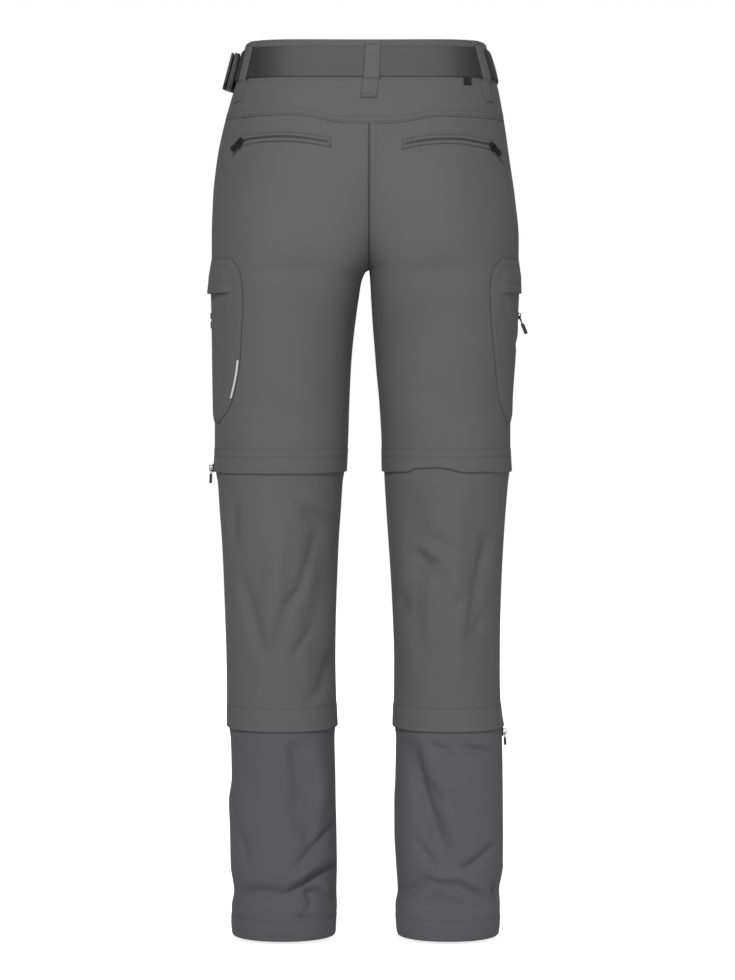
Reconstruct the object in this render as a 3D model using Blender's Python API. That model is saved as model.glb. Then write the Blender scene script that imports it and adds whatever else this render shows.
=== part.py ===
"""Convertible zip-off trousers, filled out with no wearer.

+Z is up, the front faces -Y and the wearer's left is +X. The origin is the centre of the waist
opening, at the height of the belt. Sizes are in millimetres until a mesh is made.

Each leg of the cloth is a stack of level rings. A ring is a rounded oval whose widest points are
the side seam and the inseam. Above the crotch the two legs' rings run into each other and are cut
at the middle line, which gives the seat its two lobes and the crotch its saddle.

A place on the cloth is an angle and a height: 0 degrees is the side seam, 90 the middle of the
back, 180 the inseam, and -90 the middle of the front.
"""

import math
from collections import namedtuple

import bpy
import numpy as np
from mathutils import Matrix, Vector

# Driving dimensions, in millimetres
MM = 0.001
CLOTH = 1.0
SEAM_GAP = 0.3
LYING_GAP = 0.5
MIDDLE_LINE = -3.0
CROTCH = -240.0
KNEE_HEM = -479.0
CALF_HEM = -782.5
LEG_HEM = -1032.0
ROUNDNESS = 2.15

BELT_WIDTH = 35.0
BELT_THICK = 2.6
WAISTBAND_UNDER_BELT = 4.0

ZIP_TAPE = 1.0
HEM_COVER = 10.0
ZIP_HEIGHT = 15.0
TUCK = 17.0
TUCK_INSET = CLOTH + SEAM_GAP + ZIP_TAPE + SEAM_GAP + 0.05

COLUMNS = 12

SIDES = {"left": 1, "right": -1}

# Hip, waist to crotch: the outermost width of each side, and how far each leg's lobe has parted
# from the other, from 0, one oval round the waist, to 1, two legs that just meet
Hip = namedtuple("Hip", "z left_outer right_outer lobe back front middle")
HIP = (
    Hip(30, 140.5, 139, 0.00, 100, -100, 0),
    Hip(25, 142, 140.5, 0.00, 101, -101, 0),
    Hip(-16, 152.5, 152.5, 0.01, 106, -105, 0),
    Hip(-40, 159.5, 157.8, 0.03, 109.5, -106, 0),
    Hip(-63, 166, 161.8, 0.06, 113, -107, 0),
    Hip(-110, 176, 168.5, 0.18, 119, -108, 2),
    Hip(-158, 181, 175.3, 0.44, 122, -106, 4),
    Hip(-205, 182.5, 179.5, 0.77, 120, -102, 5),
    Hip(-225, 182.5, 179.5, 0.90, 117, -100, 5),
    Hip(CROTCH, 182, 178.5, 1.00, 114, -98, 5),
)

# Each leg below the crotch
Leg = namedtuple("Leg", "z left_outer left_inner right_outer right_inner back front middle")
HALF_GAP = SEAM_GAP / 2
THIGH = (
    Leg(CROTCH, 182, MIDDLE_LINE + HALF_GAP, 178.5, HALF_GAP - MIDDLE_LINE, 114, -98, 5),
    Leg(-252, 181.5, 3.0, 178, 7.5, 111.5, -96, 5),
    Leg(-273, 180.6, 8.4, 177, 9.8, 107, -92, 5),
    Leg(-300, 180, 13, 175.6, 10.6, 101, -88, 4),
    Leg(-347, 179.4, 18, 173, 11.8, 93, -82, 3),
    Leg(-394, 179.4, 20.4, 170.4, 15.2, 87, -77, 2),
    Leg(-442, 179.6, 22, 170.4, 18, 82, -74, 1),
    Leg(KNEE_HEM, 181, 24, 172, 18.6, 79, -72, 1),
)
SHIN = (
    Leg(-491, 176.4, 28.4, 168, 21.8, 75.5, -69, 1),
    Leg(-525, 174.2, 30.7, 165.1, 23.8, 72, -67.5, 0),
    Leg(-561, 171.6, 33.2, 162.8, 26.2, 71, -66, 0),
    Leg(-597, 169.9, 34.8, 160.9, 28.7, 71, -64.5, 0),
    Leg(-650, 167.9, 36.6, 159, 31.4, 70.5, -62.5, 1),
    Leg(-704, 166.6, 37.2, 158.6, 33, 68.5, -61, 1),
    Leg(-740, 166.2, 36.6, 159, 32.9, 67, -60.5, 1),
    Leg(-767, 166, 35.6, 161, 31.9, 66, -60.5, 1),
    Leg(CALF_HEM, 166.1, 34.8, 163.6, 31.4, 66, -61, 1),
)
ANKLE = (
    Leg(-796, 161.8, 38.3, 161.4, 35.4, 62, -57, 1),
    Leg(-844, 160.6, 37.4, 162.2, 34.6, 60.5, -56, 1),
    Leg(-873, 164, 37, 162.6, 33.4, 60, -56, 1),
    Leg(-911, 162.8, 36.1, 162.8, 33.6, 60, -56, 1),
    Leg(-950, 162.1, 35.6, 162.8, 35.7, 60, -56, 1),
    Leg(-981, 158.2, 36.2, 158.3, 37.5, 57, -54, 1),
    Leg(-998, 160.8, 35.6, 159.1, 34.8, 59, -56, 1),
    Leg(-1018, 161.1, 36.9, 158.9, 35.6, 59, -56, 1),
    Leg(LEG_HEM, 160, 37.6, 157.4, 37, 58, -55, 1),
)
LEGS = {"thigh": THIGH, "shin": SHIN, "ankle": ANKLE}
COVERED_BY = {"shin": ("thigh", KNEE_HEM), "ankle": ("shin", CALF_HEM)}

# Under the crotch, how far the inseam itself lies outwards of the leg's smooth ring
Arch = namedtuple("Arch", "z left right")
CROTCH_ARCH = (
    Arch(CROTCH, 0, 0),
    Arch(-243, 3.2, -0.8),
    Arch(-252, 2.7, -3.0),
    Arch(-273, 0.8, -4.2),
    Arch(-300, 0, -3.4),
    Arch(-347, 0, -0.9),
    Arch(-394, 0, 0),
)

# The largest folds, from one end to the other: how far out from the middle line, and how high
Fold = namedtuple("Fold", "leg side facing out_0 z_0 out_1 z_1 width height")
FOLDS = (
    Fold("shin", "left", 1, 62, -560, 92, -634, 13, -2.4),
    Fold("shin", "left", 1, 92, -634, 103, -680, 11, -2.0),
    Fold("shin", "left", 1, 150, -600, 122, -690, 12, -1.8),
    Fold("shin", "left", 1, 40, -520, 72, -560, 12, 1.8),
    Fold("shin", "right", 1, 72, -548, 104, -572, 12, -1.8),
    Fold("shin", "right", 1, 46, -590, 84, -600, 14, -1.8),
    Fold("shin", "right", 1, 128, -640, 110, -672, 11, -1.8),
    Fold("shin", "left", -1, 60, -520, 130, -560, 15, -2.2),
    Fold("shin", "right", -1, 60, -545, 125, -520, 15, -2.0),
    Fold("ankle", "left", 1, 38, -950, 80, -975, 9, -3.6),
    Fold("ankle", "left", 1, 40, -938, 84, -962, 9, 3.0),
    Fold("ankle", "left", 1, 96, -977, 152, -977, 10, -2.4),
    Fold("ankle", "left", 1, 42, -890, 80, -938, 11, 2.0),
    Fold("ankle", "left", 1, 64, -820, 68, -925, 12, -1.8),
    Fold("ankle", "right", 1, 40, -980, 72, -952, 10, 2.8),
    Fold("ankle", "right", 1, 72, -952, 112, -954, 9, 3.0),
    Fold("ankle", "right", 1, 112, -954, 152, -990, 10, 2.6),
    Fold("ankle", "right", 1, 92, -966, 136, -995, 9, -2.6),
    Fold("ankle", "right", 1, 152, -925, 104, -950, 10, -2.4),
    Fold("ankle", "right", 1, 72, -792, 104, -820, 10, -2.2),
    Fold("ankle", "left", -1, 50, -960, 120, -985, 12, -3.0),
    Fold("ankle", "right", -1, 60, -985, 130, -958, 12, -3.0),
)

# The cargo pocket's back edge, outwards from the middle line, from its top to its lower end
Edge = namedtuple("Edge", "z left right")
CARGO_EDGE = (
    Edge(-229, 157, 157),
    Edge(-243, 147, 146),
    Edge(-266, 143, 142.5),
    Edge(-290, 143, 143.5),
    Edge(-311, 145, 145),
    Edge(-346, 147, 149),
    Edge(-392, 156, 154.5),
    Edge(-406, 162, 159),
    Edge(-420, 172, 164.5),
)
CARGO_HEIGHTS = (-229, -237, -247, -257, -268, -288, -311, -335, -360, -382, -400, -412, -420)
CARGO_GAP = 0.9
CARGO_COLUMNS = 14
CARGO_EDGE_THICK = 1.2
CARGO_BULGE = 1.6
FLAP_ROWS = (1, 4)
FLAP_COLUMNS = (1, 13)
FLAP_LIFT = {"left": 3.2, "right": 1.4}

# The back pocket's middle line: how far out, and its height on each side
Welt = namedtuple("Welt", "out left right")
WELT_LINE = (
    Welt(41, -98, -100.5),
    Welt(59, -94.5, -96.5),
    Welt(80, -91.5, -93.8),
    Welt(104, -90.3, -93),
    Welt(126, -91, -95.3),
    Welt(146, -93.5, -98),
)
WELT_HALF_HEIGHT = 5.2
WELT_SLOT = 1.1
WELT_THICK = 1.6

# Belt loops: side, angle round the waist, width
Loop = namedtuple("Loop", "name side angle width")
BELT_LOOPS = (
    Loop("belt_loop_back", "left", 91.5, 17),
    Loop("belt_loop_left", "left", 22.5, 15),
    Loop("belt_loop_right", "right", 27.5, 15),
    Loop("belt_loop_front_left", "left", -52, 15),
    Loop("belt_loop_front_right", "right", -52, 15),
)
LOOP_BOTTOM = -46.0

# Zip sliders and pull tabs, in their own space: across, along the tab, out from the cloth
SLIDER_WIDTH = 8.0
SLIDER_LENGTH = 9.0
SLIDER_BODY = 2.0
BRIDGE_WIDTH = 1.6
PIN_ALONG = 4.0
PIN_OUT = 3.3
PIN_HALF = 0.6

# Colours, as linear red, green and blue
GREY_CLOTH = (0.118, 0.120, 0.122)
GREY_BELT = (0.085, 0.086, 0.088)
BLACK_WEBBING = (0.018, 0.018, 0.019)
BLACK_PLASTIC = (0.012, 0.012, 0.013)
SILVER_PIPING = (0.62, 0.63, 0.64)


def clear_scene():
    for old in list(bpy.data.objects):
        bpy.data.objects.remove(old, do_unlink=True)


def material(name, colour, roughness, metallic=0.0):
    """A plain Principled material in this colour."""
    made = bpy.data.materials.new(name)
    made.use_nodes = True
    shader = made.node_tree.nodes["Principled BSDF"]
    shader.inputs["Base Color"].default_value = (*colour, 1.0)
    shader.inputs["Roughness"].default_value = roughness
    shader.inputs["Metallic"].default_value = metallic
    return made


def smooth_curve(z, rows, field):
    """A column of a table at the heights z, on a curve that never overshoots its rows."""
    rows = sorted(rows, key=lambda row: row.z)
    at = np.array([row.z for row in rows], float)
    value = np.array([getattr(row, field) for row in rows], float)
    step = np.diff(at)
    slope = np.diff(value) / step
    tangent = np.zeros_like(value)
    tangent[0], tangent[-1] = slope[0], slope[-1]
    for i in range(1, len(value) - 1):
        if slope[i - 1] * slope[i] > 0:
            before = 2 * step[i] + step[i - 1]
            after = step[i] + 2 * step[i - 1]
            tangent[i] = (before + after) / (before / slope[i - 1] + after / slope[i])
    z = np.clip(np.asarray(z, float), at[0], at[-1])
    i = np.clip(np.searchsorted(at, z) - 1, 0, len(step) - 1)
    t = (z - at[i]) / step[i]
    start = (1 + 2 * t) * (1 - t) ** 2 * value[i] + t * (1 - t) ** 2 * step[i] * tangent[i]
    end = t * t * (3 - 2 * t) * value[i + 1] + t * t * (t - 1) * step[i] * tangent[i + 1]
    return start + end


def ease(low, high, x):
    """0 below low, 1 above high, and smooth between them."""
    t = np.clip((np.asarray(x, float) - low) / (high - low), 0, 1)
    return t * t * (3 - 2 * t)


def roundness(inwards, z):
    """The oval's exponent. The inner half is squarer near the crotch, where the legs are close."""
    squarer = 1.05 * np.exp(-(((np.asarray(z, float) - CROTCH) / 60) ** 2))
    return np.where(inwards, ROUNDNESS + squarer, ROUNDNESS)


def middle_out(side):
    """How far out the middle line lies, measured towards this side."""
    return MIDDLE_LINE * SIDES[side]


def hip_ring(side, z):
    """Centre, half width, back and front half depths and middle depth of the hip at z."""
    lobe = smooth_curve(z, HIP, "lobe")
    start = middle_out(side) + HALF_GAP
    half = (smooth_curve(z, HIP, side + "_outer") - start) / (1 + lobe)
    middle = smooth_curve(z, HIP, "middle")
    back = smooth_curve(z, HIP, "back") - middle
    front = middle - smooth_curve(z, HIP, "front")
    return start + lobe * half, half, back, front, middle


def leg_ring(leg, side, z):
    """The same for a leg's own stretch. Under the hem that covers it, it follows that hem."""
    rows = list(LEGS[leg])
    if leg in COVERED_BY:
        upper, hem = COVERED_BY[leg]
        for height in (hem + TUCK + 3, hem + TUCK / 2, hem):
            rows.append(inset_row(upper, height))
    outer = smooth_curve(z, rows, side + "_outer")
    inner = smooth_curve(z, rows, side + "_inner")
    middle = smooth_curve(z, rows, "middle")
    back = smooth_curve(z, rows, "back") - middle
    front = middle - smooth_curve(z, rows, "front")
    return (outer + inner) / 2, (outer - inner) / 2, back, front, middle


def inset_row(leg, z):
    """A row that lies inside this leg's ring at z, by the room that the zip needs."""
    values = {"z": z, "middle": float(smooth_curve(z, LEGS[leg], "middle"))}
    for side in SIDES:
        centre, half, back, front, middle = (float(v) for v in leg_ring(leg, side, z))
        values[side + "_outer"] = centre + half - TUCK_INSET
        values[side + "_inner"] = centre - half + TUCK_INSET
        values["back"] = middle + back - TUCK_INSET
        values["front"] = middle - front + TUCK_INSET
    return Leg(**values)


def ring(leg, side, z):
    """A leg's ring at the heights z. The thigh's turns into the hip's above the crotch."""
    z = np.asarray(z, float)
    if leg != "thigh":
        return leg_ring(leg, side, z)
    above = z >= CROTCH
    pairs = zip(hip_ring(side, z), leg_ring("thigh", side, z))
    return tuple(np.where(above, hip, thigh) for hip, thigh in pairs)


def fold_height(leg, side, angle, out, deep, z):
    """How far the largest folds raise the cloth at a place. They fade out at seams and hems."""
    height = np.zeros_like(np.asarray(z, float))
    for fold in FOLDS:
        if fold.leg != leg or fold.side != side:
            continue
        run = np.array([fold.out_1 - fold.out_0, fold.z_1 - fold.z_0], float)
        share = ((out - fold.out_0) * run[0] + (z - fold.z_0) * run[1]) / (run @ run)
        share = np.clip(share, 0, 1)
        away = np.hypot(out - fold.out_0 - share * run[0], z - fold.z_0 - share * run[1])
        facing = np.sign(angle) == fold.facing
        height += facing * fold.height * np.exp(-((away / fold.width) ** 2))
    height *= ease(0.0, 0.4, deep)
    if leg == "shin":
        height *= ease(KNEE_HEM, KNEE_HEM - 20, z) * ease(CALF_HEM + 5, CALF_HEM + 25, z)
    if leg == "ankle":
        height *= ease(CALF_HEM, CALF_HEM - 20, z) * (0.2 + 0.8 * ease(LEG_HEM + 8, LEG_HEM + 28, z))
    return height


def cloth(leg, side, angle, z, out=0.0):
    """Points of a leg's cloth at these angles, in degrees, and heights, moved out from it."""
    angle, z, out = np.broadcast_arrays(
        np.asarray(angle, float), np.asarray(z, float), np.asarray(out, float)
    )
    turn = np.radians(angle)
    centre, half, back, front, middle = ring(leg, side, z)
    depth = np.where(angle >= 0, back, front)
    power = roundness((np.cos(turn) < 0) & (leg == "thigh"), z)
    across = np.sign(np.cos(turn)) * np.abs(np.cos(turn)) ** (2 / power)
    deep = np.sign(np.sin(turn)) * np.abs(np.sin(turn)) ** (2 / power)
    w, y = centre + half * across, middle + depth * deep

    def level(height):
        c, h, b, f, m = ring(leg, side, height)
        d = np.where(angle >= 0, b, f)
        return np.abs((w - c) / h) ** power + np.abs((y - m) / d) ** power

    reach = 1.0
    normal = np.stack(
        [
            power * np.sign(across) * np.abs(across) ** (power - 1) / half,
            power * np.sign(deep) * np.abs(deep) ** (power - 1) / depth,
            (level(z + reach) - level(z - reach)) / (2 * reach),
        ],
        axis=-1,
    )
    normal /= np.linalg.norm(normal, axis=-1, keepdims=True)
    raised = out + fold_height(leg, side, angle, w, np.abs(deep), z)
    if leg == "thigh":
        w = w + smooth_curve(z, CROTCH_ARCH, side) * ease(-0.5, -1.0, across) * (z < CROTCH)
    point = np.stack([w, y, z], axis=-1) + normal * raised[..., None]
    point[..., 0] *= SIDES[side]
    return point


def first_angle(leg, side, z):
    """The angle at which a panel starts: the inseam, or above the crotch the middle line."""
    z = np.asarray(z, float)
    lobe = np.where(z >= CROTCH, smooth_curve(z, HIP, "lobe"), 1.0) if leg == "thigh" else 1.0
    power = roundness(leg == "thigh", z)
    start = np.degrees(np.arccos(-np.clip(lobe, 0, 1) ** (power / 2)))
    return np.minimum(start * np.ones_like(z), 180 - seam_angle(leg, side, z, power))


def seam_angle(leg, side, z, power=ROUNDNESS):
    """The small angle that leaves half a seam's gap at the side seam or the inseam."""
    depth = ring(leg, side, z)[2]
    return np.degrees(np.arcsin((HALF_GAP / depth) ** (power / 2)))


def panel_angle(leg, side, facing, share, z, seam=True):
    """The angle of a panel's column: share 0 is the inseam or middle line, 1 the side seam."""
    first = first_angle(leg, side, z)
    last = seam_angle(leg, side, z) if seam else 0.0
    return facing * (first + (last - first) * share)


def angle_at(leg, side, out, z):
    """The angle on the back at which the cloth lies this far out from the middle line."""
    centre, half = ring(leg, side, z)[:2]
    share = (out - centre) / half
    share = np.clip(share, -1, 1)
    power = roundness((share < 0) & (leg == "thigh"), z)
    return np.degrees(np.arccos(np.sign(share) * np.abs(share) ** (power / 2)))


def waist_top(angle):
    back = np.sin(np.radians(angle))
    return 23.5 + 8.0 * back - 10.5 * back**2


def belt_centre(angle):
    back = np.sin(np.radians(angle))
    return -3.0 + 7.5 * back - 9.0 * back**2


def waist_bottom(angle):
    return belt_centre(angle) - BELT_WIDTH / 2 - WAISTBAND_UNDER_BELT


def yoke_seam(side, share):
    """The height of the seam under the yoke. It dips towards the centre back."""
    high = {"left": -65.0, "right": -66.5}[side]
    dip = high + 75.5
    out = cloth("thigh", side, panel_angle("thigh", side, 1, share, high), high)[..., 0]
    out = np.abs(out - MIDDLE_LINE)
    return high - dip * (1 - ease(22, 88, out))


def knee_hem(side, facing, share):
    """The thigh's lower edge. On the wearer's right it lifts at the back."""
    if side == "left" or facing < 0:
        return KNEE_HEM
    out = abs(float(cloth("thigh", side, panel_angle("thigh", side, 1, share, KNEE_HEM), KNEE_HEM)[0]))
    arch = (0.8 * ease(47, 57, out) + 0.2 * ease(57, 80, out)) * (1 - ease(84, 118, out))
    return KNEE_HEM + float(2.0 * ease(16, 42, out) * (1 - ease(138, 166, out)) + 5.6 * arch)


def add_mesh(name, points, faces, finish, matrix=None):
    """An object from points in millimetres, its faces turned outwards."""
    points = np.asarray(points, float)
    signed = 0.0
    for face in faces:
        for second, third in zip(face[1:], face[2:]):
            signed += np.dot(points[face[0]], np.cross(points[second], points[third]))
    if signed < 0:
        faces = [tuple(reversed(face)) for face in faces]
    mesh = bpy.data.meshes.new(name)
    mesh.from_pydata((points * MM).tolist(), [], faces)
    mesh.materials.append(finish)
    mesh.shade_smooth()
    mesh.set_sharp_from_angle(angle=math.radians(40))
    made = bpy.data.objects.new(name, mesh)
    if matrix is not None:
        made.matrix_world = matrix
    bpy.context.scene.collection.objects.link(made)
    return made


def wall(name, outer, inner, finish, filled=None, closed=False):
    """A closed wall between two grids of points, rows by columns. filled leaves cells out."""
    rows, columns = outer.shape[:2]
    last = columns if closed else columns - 1
    filled = np.ones((rows - 1, last), bool) if filled is None else filled
    size = rows * columns

    def corner(row, column, layer):
        return layer * size + row * columns + column % columns

    def has(row, column):
        if closed:
            column %= last
        inside = 0 <= row < rows - 1 and 0 <= column < last
        return inside and filled[row, column]

    faces = []
    for row in range(rows - 1):
        for column in range(last):
            if not filled[row, column]:
                continue
            ring_of = [(row, column), (row, column + 1), (row + 1, column + 1), (row + 1, column)]
            faces.append(tuple(corner(r, c, 0) for r, c in ring_of))
            faces.append(tuple(corner(r, c, 1) for r, c in reversed(ring_of)))
            beside = [(row - 1, column), (row, column + 1), (row + 1, column), (row, column - 1)]
            for k, (r, c) in enumerate(beside):
                if not has(r, c):
                    a, b = ring_of[k], ring_of[(k + 1) % 4]
                    faces.append((corner(*b, 0), corner(*a, 0), corner(*a, 1), corner(*b, 1)))
    points = np.concatenate([outer.reshape(-1, 3), inner.reshape(-1, 3)])
    used = sorted({index for face in faces for index in face})
    place = {old: new for new, old in enumerate(used)}
    faces = [tuple(place[index] for index in face) for face in faces]
    return add_mesh(name, points[used], faces, finish)


def laid(leg, side, angles, heights, low, high):
    """Outer and inner grids of a piece that lies on a leg, from grids of angles and heights."""
    return cloth(leg, side, angles, heights, high), cloth(leg, side, angles, heights, low)


def blocks(across, along, out, is_filled, bend):
    """Points and faces of the cells of a small grid that are filled, bent by a function."""
    size = (len(across) - 1, len(along) - 1, len(out) - 1)
    index, points, faces = {}, [], []

    def corner(i, j, k):
        if (i, j, k) not in index:
            index[i, j, k] = len(points)
            points.append(bend(across[i], along[j], out[k]))
        return index[i, j, k]

    steps = ((1, 0, 0), (-1, 0, 0), (0, 1, 0), (0, -1, 0), (0, 0, 1), (0, 0, -1))
    corners = {
        (1, 0, 0): ((1, 0, 0), (1, 1, 0), (1, 1, 1), (1, 0, 1)),
        (-1, 0, 0): ((0, 0, 0), (0, 0, 1), (0, 1, 1), (0, 1, 0)),
        (0, 1, 0): ((0, 1, 0), (0, 1, 1), (1, 1, 1), (1, 1, 0)),
        (0, -1, 0): ((0, 0, 0), (1, 0, 0), (1, 0, 1), (0, 0, 1)),
        (0, 0, 1): ((0, 0, 1), (1, 0, 1), (1, 1, 1), (0, 1, 1)),
        (0, 0, -1): ((0, 0, 0), (0, 1, 0), (1, 1, 0), (1, 0, 0)),
    }
    for cell in np.ndindex(*size):
        if not is_filled(*cell):
            continue
        for step in steps:
            near = tuple(a + b for a, b in zip(cell, step))
            inside = all(0 <= a < n for a, n in zip(near, size))
            if inside and is_filled(*near):
                continue
            faces.append(tuple(corner(*(a + b for a, b in zip(cell, c))) for c in corners[step]))
    return points, faces


def panel(name, leg, side, facing, heights_of, finish):
    """A leg's panel from the inseam or middle line to the side seam."""
    shares = np.linspace(0, 1, COLUMNS + 1)
    outer, inner = [], []
    for share in shares:
        heights = heights_of(share)
        angles = panel_angle(leg, side, facing, share, heights)
        outer.append(cloth(leg, side, angles, heights))
        inner.append(cloth(leg, side, angles, heights, -CLOTH))
    return wall(name, np.stack(outer, 1), np.stack(inner, 1), finish)


def upper_panels(finish):
    """Back and front of each hip and thigh, down to the knee hem."""
    above = np.array([1, 0.8, 0.62, 0.47, 0.34, 0.23, 0.14, 0.075, 0.03, 0.008, 0])
    below = np.array([0.013, 0.05, 0.14, 0.28, 0.44, 0.6, 0.76, 0.9, 1])
    for side in SIDES:
        for facing, word in ((1, "back"), (-1, "front")):

            def heights_of(share, side=side, facing=facing):
                if facing > 0:
                    top = float(yoke_seam(side, share)) - HALF_GAP
                else:
                    top = float(waist_bottom(panel_angle("thigh", side, -1, share, -20.0)))
                    top -= SEAM_GAP
                hem = knee_hem(side, facing, share)
                return np.concatenate([CROTCH + (top - CROTCH) * above, CROTCH + (hem - CROTCH) * below])

            panel(f"{word}_{side}", "thigh", side, facing, heights_of, finish)


def lower_panels(finish):
    """Back and front of each shin and ankle, from under the hem above to their own hem."""
    stretches = (
        ("shin", KNEE_HEM + TUCK, CALF_HEM, 11),
        ("ankle", CALF_HEM + TUCK, LEG_HEM, 14),
    )
    for leg, top, bottom, rows in stretches:
        heights = np.linspace(top, bottom, rows + 1)
        for side in SIDES:
            for facing, word in ((1, "back"), (-1, "front")):
                panel(f"{leg}_{word}_{side}", leg, side, facing, lambda share: heights, finish)


def round_places(first, last):
    """Columns round the waist, as side, facing and share, from the front middle by way of
    the wearer's left, the back and the right to the front middle again."""
    shares = np.linspace(0, 1, COLUMNS + 1)
    places = [("left", -1, s) for s in shares]
    places += [("left", 1, s) for s in shares[::-1][1:]]
    places += [("right", 1, s) for s in shares[1:]]
    places += [("right", -1, s) for s in shares[::-1][1:]]
    return places[first:last]


def round_waist(name, places, heights_of, low, high, finish):
    """A band round the waist through these columns, between two distances from the cloth."""
    outer, inner = [], []
    for side, facing, share in places:
        angle = float(panel_angle("thigh", side, facing, share, 0.0, seam=False))
        heights = heights_of(side, facing, share, angle)
        angles = panel_angle("thigh", side, facing, share, heights, seam=False)
        outer.append(cloth("thigh", side, angles, heights, high))
        inner.append(cloth("thigh", side, angles, heights, low))
    return wall(name, np.stack(outer, 1), np.stack(inner, 1), finish)


def waist_pieces(finish):
    """The waistband, open at the front middle, and the one-piece yoke across the back."""
    places = round_places(0, None)

    def band_heights(side, facing, share, angle):
        centre = belt_centre(angle)
        edge = BELT_WIDTH / 2
        return np.array([waist_top(angle), centre + edge, centre, centre - edge, waist_bottom(angle)])

    round_waist("waistband", places, band_heights, -CLOTH, 0.0, finish)

    def yoke_heights(side, facing, share, angle):
        top = waist_bottom(angle) - SEAM_GAP
        bottom = float(yoke_seam(side, share)) + HALF_GAP
        return np.linspace(top, bottom, 4)

    outer, inner = [], []
    for side, facing, share in round_places(COLUMNS, 3 * COLUMNS + 1):
        angle = float(panel_angle("thigh", side, facing, share, 0.0, seam=False))
        heights = yoke_heights(side, facing, share, angle)
        angles = panel_angle("thigh", side, 1, share, heights)
        outer.append(cloth("thigh", side, angles, heights))
        inner.append(cloth("thigh", side, angles, heights, -CLOTH))
    wall("back_yoke", np.stack(outer, 1), np.stack(inner, 1), finish)


def belt(cloth_finish, webbing_finish, plastic_finish):
    """The belt's cloth-covered back, its webbing round the front, and the slide buckle."""
    low, high = SEAM_GAP, SEAM_GAP + BELT_THICK
    left_join, right_join = COLUMNS + 3, 3 * COLUMNS - 4

    def heights(side, facing, share, angle):
        return belt_centre(angle) + np.array([1, 0, -1]) * BELT_WIDTH / 2

    round_waist("belt_back", round_places(left_join, right_join + 1), heights, low, high, cloth_finish)
    ring_round = round_places(0, None)
    front = ring_round[right_join:] + ring_round[1 : left_join + 1]
    belt_front = strip_off_ends(front)
    round_waist("belt_front", belt_front, heights, low, high, webbing_finish)
    buckle(high + 0.9, plastic_finish)


def strip_off_ends(places):
    """The same columns, its two ends drawn in a little so that two bands meet with a gap."""
    shift = 0.006
    first, last = places[0], places[-1]
    ends = [(side, facing, share + shift) for side, facing, share in (first, last)]
    return [ends[0], *places[1:-1], ends[1]]


def buckle(base, finish):
    """A dark slide of three plates, held together at its ends, on the wearer's left."""
    centre_angle, centre_z = -8.0, -9.5
    degrees_a_mm = 0.74
    half_long, half_tall = 20.0, 21.5
    across = (-half_long, -half_long + 5, -7, 7, half_long - 5, half_long)
    along = (-half_tall, -half_tall + 5, 0, half_tall - 5, half_tall)
    out = (0, 2.6, 3.8, 6.6, 7.6, 10.4)

    def is_filled(i, j, k):
        at_end = i in (0, 4)
        at_rim = j in (0, 3)
        if k == 0:
            return at_end or at_rim
        if k == 1:
            return at_end
        if k == 3:
            return i == 2 and not at_rim
        if k == 4:
            return not (at_end and at_rim)
        return True

    def bend(a, b, c):
        angle = centre_angle + a * degrees_a_mm
        return cloth("thigh", "left", angle, centre_z - b, base + c)

    points, faces = blocks(across, along, out, is_filled, bend)
    add_mesh("belt_buckle", points, faces, finish)


def belt_loops(finish):
    """Narrow strips over the belt, stitched at the waistband's top and under the belt."""
    over_belt = SEAM_GAP + BELT_THICK + SEAM_GAP
    edge = BELT_WIDTH / 2
    thick = 1.2
    for loop in BELT_LOOPS:
        centre = float(belt_centre(loop.angle))
        top = float(waist_top(loop.angle)) - 0.5
        bottom = LOOP_BOTTOM if loop.angle > 0 else LOOP_BOTTOM - 12
        steps = (
            (top, SEAM_GAP, thick),
            (centre + edge + 2.2, SEAM_GAP, thick),
            (centre + edge + 0.6, over_belt, thick),
            (centre, over_belt, thick),
            (centre - edge - 0.6, over_belt, thick),
            (centre - edge - 4.0, SEAM_GAP + 0.6, thick),
            (bottom + 4.0, SEAM_GAP, thick),
            (bottom + 3.0, SEAM_GAP, 2 * thick),
            (bottom, SEAM_GAP, 2 * thick),
        )
        heights = np.array([step[0] for step in steps])[:, None]
        low = np.array([step[1] for step in steps])[:, None]
        high = low + np.array([step[2] for step in steps])[:, None]
        half_width = loop.width / 2
        quarter = np.array([-1, 0, 1]) * half_width
        angles = loop.angle + quarter[None, :] * degrees_per_mm(loop) + 0 * heights
        outer, inner = laid("thigh", loop.side, angles, heights + 0 * angles, low, high)
        wall(loop.name, outer, inner, finish)


def degrees_per_mm(loop):
    """How many degrees a millimetre round the waist takes at a belt loop."""
    pair = cloth("thigh", loop.side, np.array([loop.angle - 1, loop.angle + 1]), np.array([0.0, 0.0]))
    return 2 / np.linalg.norm(pair[1] - pair[0])


def fly_cover(finish):
    """The placket over the front zip, on the wearer's left front."""
    heights = np.linspace(-42, -188, 7)[:, None]
    shares = np.array([0.004, 0.085, 0.17])[None, :]
    angles = panel_angle("thigh", "left", -1, shares, heights + 0 * shares)
    outer, inner = laid("thigh", "left", angles, heights + 0 * shares, LYING_GAP, LYING_GAP + CLOTH)
    wall("fly_cover", outer, inner, finish)


def label_tab(finish):
    """A bare black tab that hangs out under the belt on the wearer's right."""
    heights = np.array([-20.6, -25.0, -29.4])[:, None]
    outs = np.array([112.0, 116.5, 121.0])[None, :]
    angles = angle_at("thigh", "right", outs, heights)
    outer, inner = laid("thigh", "right", angles, heights + 0 * outs, SEAM_GAP, SEAM_GAP + CLOTH)
    wall("label_tab", outer, inner, finish)


def welt_grid(side, outs, offsets):
    """Angles and heights of a grid that follows the back pocket's line."""
    lines = [Edge(row.out, row.left, row.right) for row in WELT_LINE]
    line = smooth_curve(outs, lines, side)
    heights = line[None, :] + np.asarray(offsets)[:, None]
    return angle_at("thigh", side, outs[None, :], heights), heights


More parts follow.
